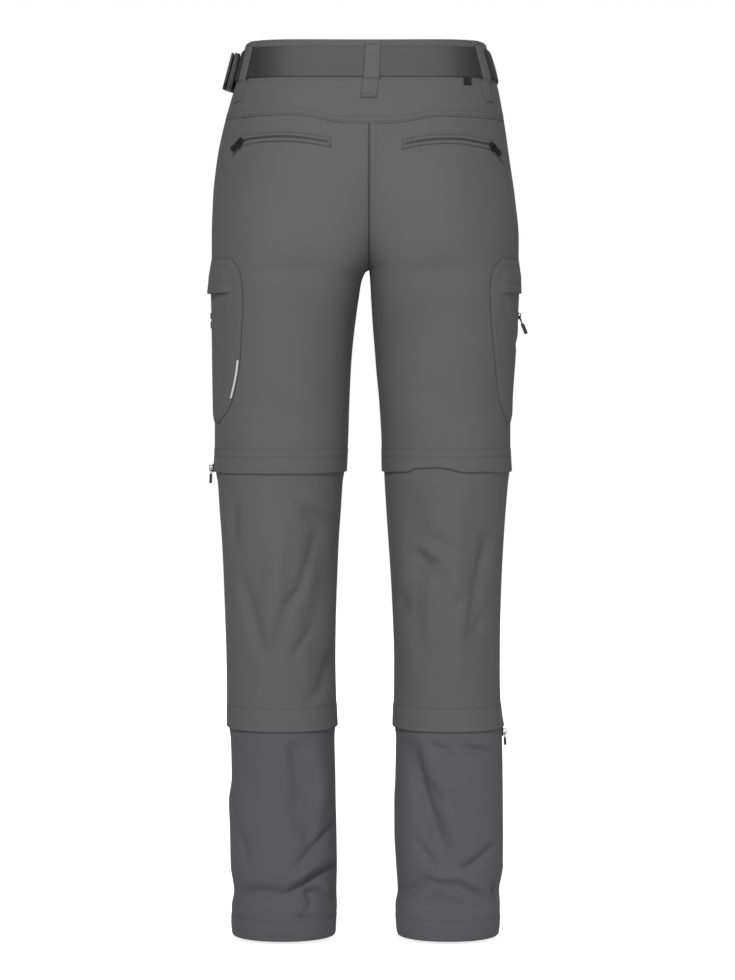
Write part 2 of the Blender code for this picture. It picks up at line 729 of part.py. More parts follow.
def back_pockets(cloth_finish, zip_finish):
    """An arched pair of welts joined at their ends, with the zip's tape between them."""
    ends = WELT_LINE[0].out, WELT_LINE[-1].out
    outs = np.array([ends[0], ends[0] + 3, *np.linspace(ends[0] + 16, ends[1] - 16, 6), ends[1] - 3, ends[1]])
    rows = (WELT_HALF_HEIGHT, WELT_SLOT, -WELT_SLOT, -WELT_HALF_HEIGHT)
    filled = np.ones((3, len(outs) - 1), bool)
    filled[1, 1:-1] = False
    low = LYING_GAP
    for side in SIDES:
        angles, heights = welt_grid(side, outs, rows)
        outer, inner = laid("thigh", side, angles, heights, low, low + WELT_THICK)
        wall(f"back_pocket_welt_{side}", outer, inner, cloth_finish, filled)
        inside = np.array([outs[1] + SEAM_GAP, *outs[2:-2], outs[-2] - SEAM_GAP])
        tape = (WELT_SLOT - SEAM_GAP, SEAM_GAP - WELT_SLOT)
        angles, heights = welt_grid(side, inside, tape)
        outer, inner = laid("thigh", side, angles, heights, low, low + CLOTH)
        wall(f"back_pocket_zip_{side}", outer, inner, zip_finish)


def cargo_angle(side, z):
    """Half the cargo pocket's width at z, as an angle from the side seam."""
    return angle_at("thigh", side, smooth_curve(z, CARGO_EDGE, side), z)


def cargo_out(side, angle, z):
    """How far the cargo pocket's outside stands from the thigh."""
    share = np.clip(1 - (angle / cargo_angle(side, z)) ** 2, 0, 1)
    down = (CARGO_EDGE[0].z - z) / (CARGO_EDGE[0].z - CARGO_EDGE[-1].z)
    fullness = np.sqrt(np.clip(4 * down * (1 - down), 0, 1))
    return CARGO_GAP + CARGO_EDGE_THICK + CARGO_BULGE * share * fullness


def cargo_grid(side, rows, columns):
    """Angles and heights of the cargo pocket's grid, or of some of its rows and columns."""
    heights = np.array(CARGO_HEIGHTS, float)[rows[0] : rows[1] + 1, None]
    shares = np.linspace(1, -1, CARGO_COLUMNS + 1)[None, columns[0] : columns[1] + 1]
    return cargo_angle(side, heights) * shares, heights + 0 * shares


def cargo_pockets(cloth_finish, zip_finish, piping_finish):
    """The pockets on the thighs' sides, with a flap at the top and a zip down the front."""
    for side in SIDES:
        angles, heights = cargo_grid(side, (0, len(CARGO_HEIGHTS) - 1), (0, CARGO_COLUMNS))
        outer, inner = laid("thigh", side, angles, heights, CARGO_GAP, cargo_out(side, angles, heights))
        wall(f"cargo_pocket_{side}", outer, inner, cloth_finish)

        angles, heights = cargo_grid(side, FLAP_ROWS, FLAP_COLUMNS)
        low = cargo_out(side, angles, heights) + LYING_GAP
        down = np.linspace(0, 1, len(heights))[:, None] ** 2
        middle = np.cos(np.radians(angles) * 1.4)
        low = low + FLAP_LIFT[side] * down * np.clip(middle, 0, 1)
        outer, inner = laid("thigh", side, angles, heights, low, low + CLOTH)
        wall(f"cargo_flap_{side}", outer, inner, cloth_finish)

        heights = np.array(CARGO_HEIGHTS[5:10], float)[:, None]
        angles = CARGO_ZIP_ANGLE[side] + np.array([2.6, 0, -2.6])[None, :] + 0 * heights
        heights = heights + 0 * angles
        low = cargo_out(side, angles, heights) + LYING_GAP
        outer, inner = laid("thigh", side, angles, heights, low, low + CLOTH)
        wall(f"cargo_zip_{side}", outer, inner, zip_finish)

    heights = np.array([-347.0, -362, -377, -391])[:, None]
    insets = np.array([0.6, 2.4])[None, :]
    angles = cargo_angle("left", heights) - insets
    heights = heights + 0 * insets
    low = cargo_out("left", angles, heights) + SEAM_GAP
    outer, inner = laid("thigh", "left", angles, heights, low, low + CLOTH)
    wall("reflective_piping", outer, inner, piping_finish)


CARGO_ZIP_ANGLE = {"left": -18.0, "right": -14.0}


def zip_bands(finish):
    """Rings of zip tape between each hem and the leg stretch that starts under it."""
    shares = np.linspace(0, 1, COLUMNS + 1)
    outside = -(CLOTH + SEAM_GAP)
    for name, leg, hem in (("knee_zip", "thigh", KNEE_HEM), ("calf_zip", "shin", CALF_HEM)):
        heights = np.array([hem + HEM_COVER + ZIP_HEIGHT, hem + HEM_COVER])
        for side in SIDES:
            angles = []
            for facing, order in ((1, shares), (-1, shares[::-1])):
                angles += [panel_angle(leg, side, facing, share, heights) for share in order]
            grid = np.stack(angles, 1)
            z = heights[:, None] + 0 * grid
            outer = cloth(leg, side, grid, z, outside)
            inner = cloth(leg, side, grid, z, outside - ZIP_TAPE)
            wall(f"{name}_{side}", outer, inner, finish, closed=True)


def slider_shape():
    """A zip slider: a flat body with a bridge, under which the pull tab's bar turns."""
    half = SLIDER_WIDTH / 2
    across = (-half, -BRIDGE_WIDTH / 2, BRIDGE_WIDTH / 2, half)
    along = (-1.0, 0.6, 1.6, 6.4, 7.4, SLIDER_LENGTH)
    out = (0, SLIDER_BODY, PIN_OUT + 1.3, PIN_OUT + 2.3)

    def is_filled(i, j, k):
        foot = i == 1 and j in (1, 3)
        bridge = i == 1 and j in (1, 2, 3)
        return (True, foot, bridge)[k]

    return blocks(across, along, out, is_filled, lambda a, b, c: (a, b, c))


def pull_shape(length, neck):
    """A pull tab about its bar: a window for the bridge, a neck, and a wider grip."""
    arm, window, grip = 1.5, 1.3, 1.6
    across = (-window - arm, -window, window, window + arm)
    along = (-PIN_HALF, PIN_HALF, 4.8, 6.2, neck, length)
    out = (-grip, -PIN_HALF, PIN_HALF, grip)

    def is_filled(i, j, k):
        if k != 1:
            return j == 4
        if j == 1:
            return i != 1
        return i == 1 if j == 3 else True

    return blocks(across, along, out, is_filled, lambda a, b, c: (a, b, c))


Pull = namedtuple("Pull", "name leg side angle z base along tilt length neck")


def pulls():
    """Where each slider sits, which way its tab hangs and how far it tilts off the cloth."""
    hem_out = SEAM_GAP
    found = []
    for side in SIDES:
        line = [Edge(row.out, row.left, row.right) for row in WELT_LINE]
        z = float(smooth_curve(WELT_LINE[-1].out - 4, line, side))
        angle = float(angle_at("thigh", side, WELT_LINE[-1].out - 4, z))
        over = LYING_GAP + WELT_THICK + SEAM_GAP
        found.append(Pull(f"back_pocket_{side}", "thigh", side, angle, z, over, 50, 0, 13, 6.8))
        z = -290.0
        angle = CARGO_ZIP_ANGLE[side]
        over = float(cargo_out(side, angle, z)) + LYING_GAP + CLOTH + SEAM_GAP
        tilt, length, neck = (26, 23, 10) if side == "right" else (0, 15, 7)
        found.append(Pull(f"cargo_{side}", "thigh", side, angle, z, over, 0, tilt, length, neck))
    found.append(Pull("knee_left", "thigh", "left", 2.0, KNEE_HEM + 8, hem_out, 0, 0, 18, 7))
    found.append(Pull("knee_right", "thigh", "right", -35.0, KNEE_HEM + 8, hem_out, 0, 0, 18, 7))
    found.append(Pull("calf_left", "ankle", "left", -35.0, CALF_HEM - 3, hem_out, 0, 0, 16, 7))
    found.append(Pull("calf_right", "ankle", "right", 2.0, CALF_HEM - 3, hem_out, 0, 0, 16, 7))
    return found


def slider_frame(pull):
    """The matrix of a slider: across, along the tab, and out of the cloth, in metres."""
    here = cloth(pull.leg, pull.side, pull.angle, pull.z, pull.base)
    outwards = cloth(pull.leg, pull.side, pull.angle, pull.z, pull.base + 1) - here
    out = Vector(outwards).normalized()
    down = Vector((0, 0, -1))
    down = (down - out * down.dot(out)).normalized()
    sideways = Vector((SIDES[pull.side], 0, 0))
    sideways = (sideways - out * sideways.dot(out)).normalized()
    turn = math.radians(pull.along)
    along = (down * math.cos(turn) + sideways * math.sin(turn)).normalized()
    across = along.cross(out)
    matrix = Matrix((across, along, out)).transposed().to_4x4()
    matrix.translation = Vector(here) * MM
    return matrix


def zip_pulls(finish):
    """Each slider, fixed, and its pull tab, whose origin lies on the bar that it turns on."""
    for pull in pulls():
        frame = slider_frame(pull)
        points, faces = slider_shape()
        add_mesh(f"{pull.name}_slider", points, faces, finish, frame)
        pin = frame @ Matrix.Translation(Vector((0, PIN_ALONG, PIN_OUT)) * MM)
        pin = pin @ Matrix.Rotation(math.radians(pull.tilt), 4, "X")
        points, faces = pull_shape(pull.length, pull.neck)
        add_mesh(f"{pull.name}_pull", points, faces, finish, pin)


def build():
    clear_scene()
    grey = material("grey_cloth", GREY_CLOTH, 0.85)
    strap = material("belt_cloth", GREY_BELT, 0.8)
    webbing = material("black_webbing", BLACK_WEBBING, 0.7)
    plastic = material("black_plastic", BLACK_PLASTIC, 0.4)
    silver = material("silver_piping", SILVER_PIPING, 0.4)
    upper_panels(grey)
    lower_panels(grey)
    waist_pieces(grey)
    belt(strap, webbing, plastic)
    belt_loops(grey)
    fly_cover(grey)
    label_tab(webbing)
    back_pockets(grey, grey)
    cargo_pockets(grey, webbing, silver)
    zip_bands(webbing)
    zip_pulls(plastic)


build()
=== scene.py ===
import math
import random
from collections import namedtuple

import bmesh
import bpy
import numpy as np
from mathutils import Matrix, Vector


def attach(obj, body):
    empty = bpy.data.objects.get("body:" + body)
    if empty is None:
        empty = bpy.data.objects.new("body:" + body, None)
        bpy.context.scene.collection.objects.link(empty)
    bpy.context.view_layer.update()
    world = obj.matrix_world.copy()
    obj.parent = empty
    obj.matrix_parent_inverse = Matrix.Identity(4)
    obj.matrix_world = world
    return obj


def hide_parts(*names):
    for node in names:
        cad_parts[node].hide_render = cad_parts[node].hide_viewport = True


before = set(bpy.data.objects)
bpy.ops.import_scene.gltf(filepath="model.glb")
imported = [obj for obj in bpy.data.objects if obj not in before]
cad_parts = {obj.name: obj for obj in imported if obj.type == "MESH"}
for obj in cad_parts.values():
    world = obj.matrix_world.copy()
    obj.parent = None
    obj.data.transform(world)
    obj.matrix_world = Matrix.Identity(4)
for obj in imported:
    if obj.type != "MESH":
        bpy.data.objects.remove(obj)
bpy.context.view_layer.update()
# Sizes, in millimetres until a mesh is made
MM = 0.001
CLOTH = 1.0
PRESSED = 0.45
ROOM = 0.3
MIDDLE_LINE = -3.0
CROTCH = -240.0
KNEE_HEM = -479.0
CALF_HEM = -782.5
LEG_HEM = -1032.0
ROUNDNESS = 2.15
BELT_WIDTH = 35.0
BELT_THICK = 2.6
WAISTBAND_UNDER_BELT = 4.0
WAISTBAND_DEPTH = 46
HEM_COVER = 10.0
ZIP_HEIGHT = 15.0
TUCK = 17.0
TUCK_INSET = 2.65
SIDES = {"left": 1, "right": -1}
GARMENT = "garment"
MERGE_WITHIN = 0.02
FLAT_BELOW, CORNER_ABOVE = 0.06, 0.5
SHARP_FROM = math.radians(50)

# Hip, waist to crotch: each side's outermost width, and how far each leg's lobe has parted from
# the other's, from 0, one oval round the waist, to 1, two legs that just meet
Hip = namedtuple("Hip", "z left_outer right_outer lobe back front middle")
HIP = (
    Hip(30, 140.5, 139, 0.00, 100, -100, 0),
    Hip(25, 142, 140.5, 0.00, 101, -101, 0),
    Hip(-16, 152.5, 152.5, 0.01, 106, -105, 0),
    Hip(-40, 159.5, 157.8, 0.03, 109.5, -106, 0),
    Hip(-63, 166, 161.8, 0.06, 113, -107, 0),
    Hip(-110, 176, 168.5, 0.18, 119, -108, 2),
    Hip(-158, 181, 175.3, 0.44, 122, -106, 4),
    Hip(-205, 182.5, 179.5, 0.77, 120, -102, 5),
    Hip(-225, 182.5, 179.5, 0.90, 117, -100, 5),
    Hip(CROTCH, 182, 178.5, 1.00, 114, -98, 5),
)

# Each leg below the crotch
Leg = namedtuple("Leg", "z left_outer left_inner right_outer right_inner back front middle")
THIGH = (
    Leg(CROTCH, 182, MIDDLE_LINE, 178.5, -MIDDLE_LINE, 114, -98, 5),
    Leg(-252, 181.5, 3.0, 178, 7.5, 111.5, -96, 5),
    Leg(-273, 180.6, 8.4, 177, 9.8, 107, -92, 5),
    Leg(-300, 180, 13, 175.6, 10.6, 101, -88, 4),
    Leg(-347, 179.4, 18, 173, 11.8, 93, -82, 3),
    Leg(-394, 179.4, 20.4, 170.4, 15.2, 87, -77, 2),
    Leg(-442, 179.6, 22, 170.4, 18, 82, -74, 1),
    Leg(KNEE_HEM, 181, 24, 172, 18.6, 79, -72, 1),
)
SHIN = (
    Leg(-491, 176.4, 28.4, 168, 21.8, 75.5, -69, 1),
    Leg(-525, 174.2, 30.7, 165.1, 23.8, 72, -67.5, 0),
    Leg(-561, 171.6, 33.2, 162.8, 26.2, 71, -66, 0),
    Leg(-597, 169.9, 34.8, 160.9, 28.7, 71, -64.5, 0),
    Leg(-650, 167.9, 36.6, 159, 31.4, 70.5, -62.5, 1),
    Leg(-704, 166.6, 37.2, 158.6, 33, 68.5, -61, 1),
    Leg(-740, 166.2, 36.6, 159, 32.9, 67, -60.5, 1),
    Leg(-767, 166, 35.6, 161, 31.9, 66, -60.5, 1),
    Leg(CALF_HEM, 166.1, 34.8, 163.6, 31.4, 66, -61, 1),
)
ANKLE = (
    Leg(-796, 161.8, 38.3, 161.4, 35.4, 62, -57, 1),
    Leg(-844, 160.6, 37.4, 162.2, 34.6, 60.5, -56, 1),
    Leg(-873, 164, 37, 162.6, 33.4, 60, -56, 1),
    Leg(-911, 162.8, 36.1, 162.8, 33.6, 60, -56, 1),
    Leg(-950, 162.1, 35.6, 162.8, 35.7, 60, -56, 1),
    Leg(-981, 158.2, 36.2, 158.3, 37.5, 57, -54, 1),
    Leg(-998, 160.8, 35.6, 159.1, 34.8, 59, -56, 1),
    Leg(-1018, 161.1, 36.9, 158.9, 35.6, 59, -56, 1),
    Leg(LEG_HEM, 160, 37.6, 157.4, 37, 58, -55, 1),
)
LEGS = {"thigh": THIGH, "shin": SHIN, "ankle": ANKLE}
COVERED_BY = {"shin": ("thigh", KNEE_HEM), "ankle": ("shin", CALF_HEM)}

# Under the crotch, how far the inseam itself lies outwards of the leg's smooth ring
Arch = namedtuple("Arch", "z left right")
CROTCH_ARCH = (
    Arch(CROTCH, 0, 0),
    Arch(-243, 3.2, -0.8),
    Arch(-252, 2.7, -3.0),
    Arch(-273, 0.8, -4.2),
    Arch(-300, 0, -3.4),
    Arch(-347, 0, -0.9),
    Arch(-394, 0, 0),
)

# Folds of the cloth, by leg stretch, side, and 1 for the back or -1 for the front: a path of
# places (out from the middle line, height), the half width, and the height, below 0 for a crease
FOLDS = {
    ("shin", "left", 1): (
        (((148, -598), (127, -668), (119, -688), (111, -700)), 9, -1.9),
        (((59, -557), (77, -615), (94, -634), (104, -674), (111, -700)), 8, -2.2),
        (((112, -560), (108, -640), (112, -690)), 17, 1.8),
        (((63, -662), (86, -695)), 6, -1.3),
        (((78, -522), (37, -545)), 8, -1.5),
        (((72, -506), (36, -526)), 8, 1.2),
        (((157, -506), (157, -569)), 8, -1.3),
        (((36, -686), (52, -733), (66, -745)), 8, -1.5),
        (((62, -530), (48, -600), (60, -660), (50, -720)), 17, -2.2),
        (((98, -530), (104, -600), (96, -650)), 13, 1.0),
    ),
    ("shin", "right", 1): (
        (((74, -551), (103, -569)), 7, -1.5),
        (((51, -574), (80, -586)), 7, -1.3),
        (((56, -560), (92, -578)), 6, 0.9),
        (((113, -615), (104, -639)), 8, -1.4),
        (((136, -646), (129, -666)), 8, -1.5),
        (((39, -621), (42, -645)), 7, -1.2),
        (((142, -551), (135, -592)), 9, -1.2),
        (((44, -590), (66, -592), (90, -602)), 12, -1.2),
        (((58, -520), (62, -580), (54, -640), (66, -700)), 16, -1.8),
        (((110, -510), (100, -570), (112, -640), (108, -700)), 15, 1.6),
        (((146, -560), (126, -620), (118, -680)), 8, -1.4),
    ),
    ("shin", "left", -1): (
        (((60, -520), (130, -560)), 15, -2.2),
        (((50, -600), (104, -630)), 10, -1.3),
    ),
    ("shin", "right", -1): (
        (((60, -545), (125, -520)), 15, -2.0),
        (((140, -600), (92, -622)), 10, -1.3),
    ),
    ("ankle", "left", 1): (
        (((38, -946), (57, -954), (82, -969), (96, -978)), 6, -3.4),
        (((40, -932), (60, -940), (86, -958)), 9, 2.8),
        (((43, -987), (60, -976), (82, -976)), 8, -1.8),
        (((96, -977), (124, -974), (150, -979)), 10, -2.0),
        (((88, -1002), (61, -1006)), 5, -1.2),
        (((36, -896), (60, -922), (82, -943)), 7, -2.0),
        (((157, -894), (139, -945)), 9, -1.6),
        (((86, -800), (84, -840)), 8, -1.0),
        (((67, -827), (64, -870), (68, -922)), 10, -1.5),
        (((84, -790), (76, -830), (80, -875), (70, -912)), 15, -2.6),
        (((60, -800), (52, -850), (60, -890)), 13, 1.6),
        (((72, -965), (64, -985), (70, -998)), 5, -1.4),
        (((52, -962), (44, -984)), 6, 1.8),
    ),
    ("ankle", "right", 1): (
        (((72, -797), (92, -805), (105, -822)), 6, -2.2),
        (((110, -796), (121, -803), (150, -810)), 6, -2.0),
        (((75, -845), (93, -870)), 7, -1.5),
        (((57, -800), (64, -851), (86, -910)), 11, -1.5),
        (((60, -916), (80, -942)), 7, -1.8),
        (((72, -950), (92, -955), (110, -951)), 8, 2.6),
        (((94, -962), (120, -972), (142, -988)), 8, -1.2),
        (((90, -982), (112, -990), (134, -998)), 8, -1.0),
        (((108, -950), (132, -966), (153, -990)), 9, 1.6),
        (((152, -967), (152, -987)), 6, -2.6),
        (((153, -919), (127, -939), (104, -952)), 7, -2.2),
        (((40, -980), (60, -968), (72, -954)), 8, -1.6),
        (((45, -795), (60, -845), (82, -905), (98, -940)), 15, -2.8),
        (((70, -800), (92, -860), (112, -925)), 17, 2.2),
        (((84, -976), (74, -996)), 9, -1.0),
    ),
    ("ankle", "left", -1): (
        (((50, -960), (120, -985)), 12, -3.0),
        (((60, -880), (130, -900)), 12, -1.5),
    ),
    ("ankle", "right", -1): (
        (((60, -985), (130, -958)), 12, -3.0),
        (((130, -870), (70, -900)), 12, -1.5),
    ),
    ("thigh", "left", 1): (
        (((135, -65), (152, -69.5), (158.7, -80), (163.4, -89.4)), 2.2, -0.9),
        (((120, -395), (60, -425)), 16, -1.0),
        (((30, -262), (70, -246), (120, -242)), 14, -1.3),
    ),
    ("thigh", "right", 1): (
        (((60, -380), (120, -420)), 16, -1.0),
        (((30, -262), (70, -246), (120, -242)), 14, -1.3),
    ),
    ("thigh", "left", -1): (
        (((20, -215), (90, -190), (150, -170)), 12, -2.0),
        (((16, -238), (80, -228), (140, -222)), 12, -1.6),
    ),
    ("thigh", "right", -1): (
        (((20, -215), (90, -192), (150, -170)), 12, -2.0),
        (((16, -238), (80, -226), (140, -224)), 12, -1.6),
    ),
}

FOLD_DEPTH = {"thigh": 1.6, "shin": 3.6, "ankle": 3.8}
FOLD_WIDTH = {"thigh": 1.0, "shin": 0.85, "ankle": 0.72}
RIPPLE_DEPTH = {"thigh": 1.0, "shin": 1.7, "ankle": 1.8}
# The share of the folds that reaches the hem, and between which heights above it they grow
FOLDS_AT_HEM = {"shin": (0.15, 5, 25), "ankle": (0.2, 8, 28)}

# The cargo pocket's back edge, outwards from the middle line, from its top to its lower end
Edge = namedtuple("Edge", "z left right")
CARGO_EDGE = (
    Edge(-229, 157, 157),
    Edge(-243, 147, 146),
    Edge(-266, 143, 142.5),
    Edge(-290, 143, 143.5),
    Edge(-311, 145, 145),
    Edge(-346, 147, 149),
    Edge(-392, 156, 154.5),
    Edge(-406, 162, 159),
    Edge(-420, 172, 164.5),
)
CARGO_LIFT = 2.1
CARGO_BULGE = 1.6
CARGO_EDGE_OUT = 1.35
CARGO_MM_PER_DEGREE = 1.62
CARGO_STEPS = np.array([0, 0.5, 1.2, 2, 2.8, 4.5, 6.2, 7, 7.8, 9])
FLAP_TOP, FLAP_BOTTOM = -237.0, -268.0
FLAP_SHARE = 6 / 7
FLAP_LIFT = {"left": 3.2, "right": 1.4}
FLAP_SLOPE = {"left": 0.03, "right": 0.14}
CARGO_ZIP_ANGLE = {"left": -18.0, "right": -14.0}

# The back pocket's middle line: how far out, kept as z, and its height on each side
Welt = namedtuple("Welt", "z left right")
WELT_LINE = (
    Welt(41, -98, -100.5),
    Welt(59, -94.5, -96.5),
    Welt(80, -91.5, -93.8),
    Welt(104, -90.3, -93),
    Welt(126, -91, -95.3),
    Welt(146, -93.5, -98),
)
WELT_HALF = 5.2
WELT_SLOT = 1.0
SEAT_LINE = -212.0
FLY_SHARE = 0.17
LABEL_OUT, LABEL_Z = 116.5, -25

# Belt loops: the angle round the waist, the width, and the height of the lower end
Loop = namedtuple("Loop", "name side angle width bottom")
BELT_LOOPS = (
    Loop("belt_loop_back", "left", 91.5, 17, -46),
    Loop("belt_loop_left", "left", 22.5, 15, -46),
    Loop("belt_loop_right", "right", 27.5, 15, -46),
    Loop("belt_loop_front_left", "left", -52, 15, -58),
    Loop("belt_loop_front_right", "right", -52, 15, -58),
)

# Hems: how far the turned edge reaches up, and where it is stitched
Hem = namedtuple("Hem", "height stitches")
HEMS = {"thigh": Hem(28.0, (19.0, 28.0)), "shin": Hem(27.0, (27.0,)), "ankle": Hem(24.0, (24.0,))}
HEM_AT = {"thigh": KNEE_HEM, "shin": CALF_HEM, "ankle": LEG_HEM}
SEAM_STITCHES = (2.0, 7.0)
INSEAM_STITCHES = (2.0,)
STITCH_GROOVE = 0.8
STITCH_PITCH = 3.1
STITCH_LENGTH = 2.3
THREAD_RADIUS = 0.24
THREAD_RISE = 0.12
CORD_PITCH = 1.5
CORD_LENGTH = 2.6
FACINGS = ((1, "back"), (-1, "front"))


# The form: level rings, cut at the middle line above the crotch
def smooth_curve(z, rows, field):
    """A column of a table at the heights z, on a curve that never overshoots its rows."""
    rows = sorted(rows, key=lambda row: row.z)
    at = np.array([row.z for row in rows], float)
    value = np.array([getattr(row, field) for row in rows], float)
    step = np.diff(at)
    slope = np.diff(value) / step
    tangent = np.zeros_like(value)
    tangent[0], tangent[-1] = slope[0], slope[-1]
    for i in range(1, len(value) - 1):
        if slope[i - 1] * slope[i] > 0:
            before = 2 * step[i] + step[i - 1]
            after = step[i] + 2 * step[i - 1]
            tangent[i] = (before + after) / (before / slope[i - 1] + after / slope[i])
    z = np.clip(np.asarray(z, float), at[0], at[-1])
    i = np.clip(np.searchsorted(at, z) - 1, 0, len(step) - 1)
    t = (z - at[i]) / step[i]
    start = (1 + 2 * t) * (1 - t) ** 2 * value[i] + t * (1 - t) ** 2 * step[i] * tangent[i]
    end = t * t * (3 - 2 * t) * value[i + 1] + t * t * (t - 1) * step[i] * tangent[i + 1]
    return start + end


def ease(low, high, x):
    """0 below low, 1 above high, and smooth between them."""
    t = np.clip((np.asarray(x, float) - low) / (high - low), 0, 1)
    return t * t * (3 - 2 * t)


def bump_at(x, place, width):
    """1 at a place, falling to 0 about twice the width away."""
    return np.exp(-(((x - place) / width) ** 2))


def roundness(inwards, z):
    """The oval's exponent. The inner half is squarer near the crotch, where the legs are close."""
    squarer = 1.05 * np.exp(-(((np.asarray(z, float) - CROTCH) / 60) ** 2))
    return np.where(inwards, ROUNDNESS + squarer, ROUNDNESS)


def depths(rows, z):
    """How far the back and the front lie from the ring's middle depth, and that depth."""
    middle = smooth_curve(z, rows, "middle")
    return smooth_curve(z, rows, "back") - middle, middle - smooth_curve(z, rows, "front"), middle


def hip_ring(side, z):
    """Centre, half width, back and front half depths and middle depth of the hip at z."""
    lobe = smooth_curve(z, HIP, "lobe")
    start = MIDDLE_LINE * SIDES[side]
    half = (smooth_curve(z, HIP, side + "_outer") - start) / (1 + lobe)
    return start + lobe * half, half, *depths(HIP, z)


def inset_row(leg, z):
    """A row that lies inside this leg's ring at z, by the room that the zip needs."""
    values = {"z": z, "middle": float(smooth_curve(z, LEGS[leg], "middle"))}
    for side in SIDES:
        centre, half, back, front, middle = (float(v) for v in leg_ring(leg, side, z))
        values[side + "_outer"] = centre + half - TUCK_INSET
        values[side + "_inner"] = centre - half + TUCK_INSET
        values["back"] = middle + back - TUCK_INSET
        values["front"] = middle - front + TUCK_INSET
    return Leg(**values)


def tucked_rows(leg):
    """A leg stretch's rows, with those of its top end that is tucked inside the hem above it."""
    rows = list(LEGS[leg])
    if leg in COVERED_BY:
        upper, hem = COVERED_BY[leg]
        rows += [inset_row(upper, height) for height in (hem + TUCK + 3, hem + TUCK / 2, hem)]
    return rows


def leg_ring(leg, side, z):
    """Centre, half width, back and front half depths and middle depth of a leg at z."""
    rows = tucked_rows(leg)
    outer = smooth_curve(z, rows, side + "_outer")
    inner = smooth_curve(z, rows, side + "_inner")
    return (outer + inner) / 2, (outer - inner) / 2, *depths(rows, z)


def ring(leg, side, z):
    """A leg's ring at the heights z. The thigh's turns into the hip's above the crotch."""
    z = np.asarray(z, float)
    if leg != "thigh":
        return leg_ring(leg, side, z)
    above = z >= CROTCH
    pairs = zip(hip_ring(side, z), leg_ring("thigh", side, z))
    return tuple(np.where(above, hip, thigh) for hip, thigh in pairs)


def along_path(path, w, z):
    """Distance from a path of places, and the share of the way along it, at each point."""
    path = np.array(path, float)
    spans = np.linalg.norm(np.diff(path, axis=0), axis=1)
    starts = np.concatenate([[0], np.cumsum(spans)[:-1]])
    nearest = np.full(np.shape(w), np.inf)
    share = np.zeros(np.shape(w))
    for first, second, span, start in zip(path, path[1:], spans, starts):
        step = second - first
        t = np.clip(((w - first[0]) * step[0] + (z - first[1]) * step[1]) / span**2, 0, 1)
        away = np.hypot(w - first[0] - t * step[0], z - first[1] - t * step[1])
        closer = away < nearest
        nearest = np.where(closer, away, nearest)
        share = np.where(closer, (start + t * span) / spans.sum(), share)
    return nearest, share


def ripples(key, w, z):
    """Slow, shallow unevenness of cloth that nobody has pressed."""
    draw = random.Random(key)
    height = np.zeros(np.shape(w))
    for _ in range(9):
        length = draw.uniform(38, 130)
        turn = draw.uniform(-0.9, 0.9) + (math.pi / 2 if draw.random() < 0.35 else 0)
        phase = draw.uniform(0, 2 * math.pi)
        run = (w * math.cos(turn) + z * math.sin(turn)) * 2 * math.pi / length
        height += 0.11 * (length / 80) * np.sin(run + phase)
    return height


def fold_height(leg, side, angle, w, deep, z):
    """How far the folds raise the cloth at a place. They fade out at seams and hems."""
    height = np.zeros_like(np.asarray(z, float))
    for facing, _ in FACINGS:
        for path, width, rise in FOLDS[leg, side, facing]:
            away, share = along_path(path, w, z)
            tapered = 0.25 + 0.75 * np.sin(np.pi * np.clip(share, 0.02, 0.98)) ** 0.6
            tall = FOLD_DEPTH[leg] * np.sign(rise) * abs(rise) ** 0.6
            across = np.exp(-((away / (width * FOLD_WIDTH[leg])) ** 2))
            height += (np.sign(angle) == facing) * tall * tapered * across
    looser = np.where(np.asarray(angle) >= 0, 1.0, 1.3)
    height += RIPPLE_DEPTH[leg] * ripples(f"{leg} {side}", w, z) * looser
    height *= ease(0.0, 0.35, deep)
    if leg == "thigh":
        return height * ease(-20, -70, z)
    top, hem = COVERED_BY[leg][1], HEM_AT[leg]
    least, low, high = FOLDS_AT_HEM[leg]
    return height * (ease(top, top - 20, z) * (least + (1 - least) * ease(hem + low, hem + high, z)))


def cloth(leg, side, angle, z, out=0.0):
    """Points of a leg's cloth at these angles, in degrees, and heights, moved out from it."""
    angle, z, out = np.broadcast_arrays(
        np.asarray(angle, float), np.asarray(z, float), np.asarray(out, float)
    )
    turn = np.radians(angle)
    centre, half, back, front, middle = ring(leg, side, z)
    depth = np.where(angle >= 0, back, front)
    power = roundness((np.cos(turn) < 0) & (leg == "thigh"), z)
    across = np.sign(np.cos(turn)) * np.abs(np.cos(turn)) ** (2 / power)
    deep = np.sign(np.sin(turn)) * np.abs(np.sin(turn)) ** (2 / power)
    w, y = centre + half * across, middle + depth * deep

    def level(height):
        c, h, b, f, m = ring(leg, side, height)
        d = np.where(angle >= 0, b, f)
        return np.abs((w - c) / h) ** power + np.abs((y - m) / d) ** power

    reach = 4.0
    normal = np.stack(
        [
            power * np.sign(across) * np.abs(across) ** (power - 1) / half,
            power * np.sign(deep) * np.abs(deep) ** (power - 1) / depth,
            (level(z + reach) - level(z - reach)) / (2 * reach),
        ],
        axis=-1,
    )
    normal /= np.linalg.norm(normal, axis=-1, keepdims=True)
    raised = out + fold_height(leg, side, angle, w, np.abs(deep), z)
    if leg == "thigh":
        w = w + smooth_curve(z, CROTCH_ARCH, side) * ease(-0.5, -1.0, across) * (z < CROTCH)
    point = np.stack([w, y, z], axis=-1) + normal * raised[..., None]
    point[..., 0] *= SIDES[side]
    return point


def first_angle(leg, side, z):
    """The angle at which a panel starts: the inseam, or above the crotch the middle line."""
    z = np.asarray(z, float)
    lobe = np.where(z >= CROTCH, smooth_curve(z, HIP, "lobe"), 1.0) if leg == "thigh" else 1.0
    power = roundness(leg == "thigh", z)
    return np.degrees(np.arccos(-np.clip(lobe, 0, 1) ** (power / 2))) * np.ones_like(z)


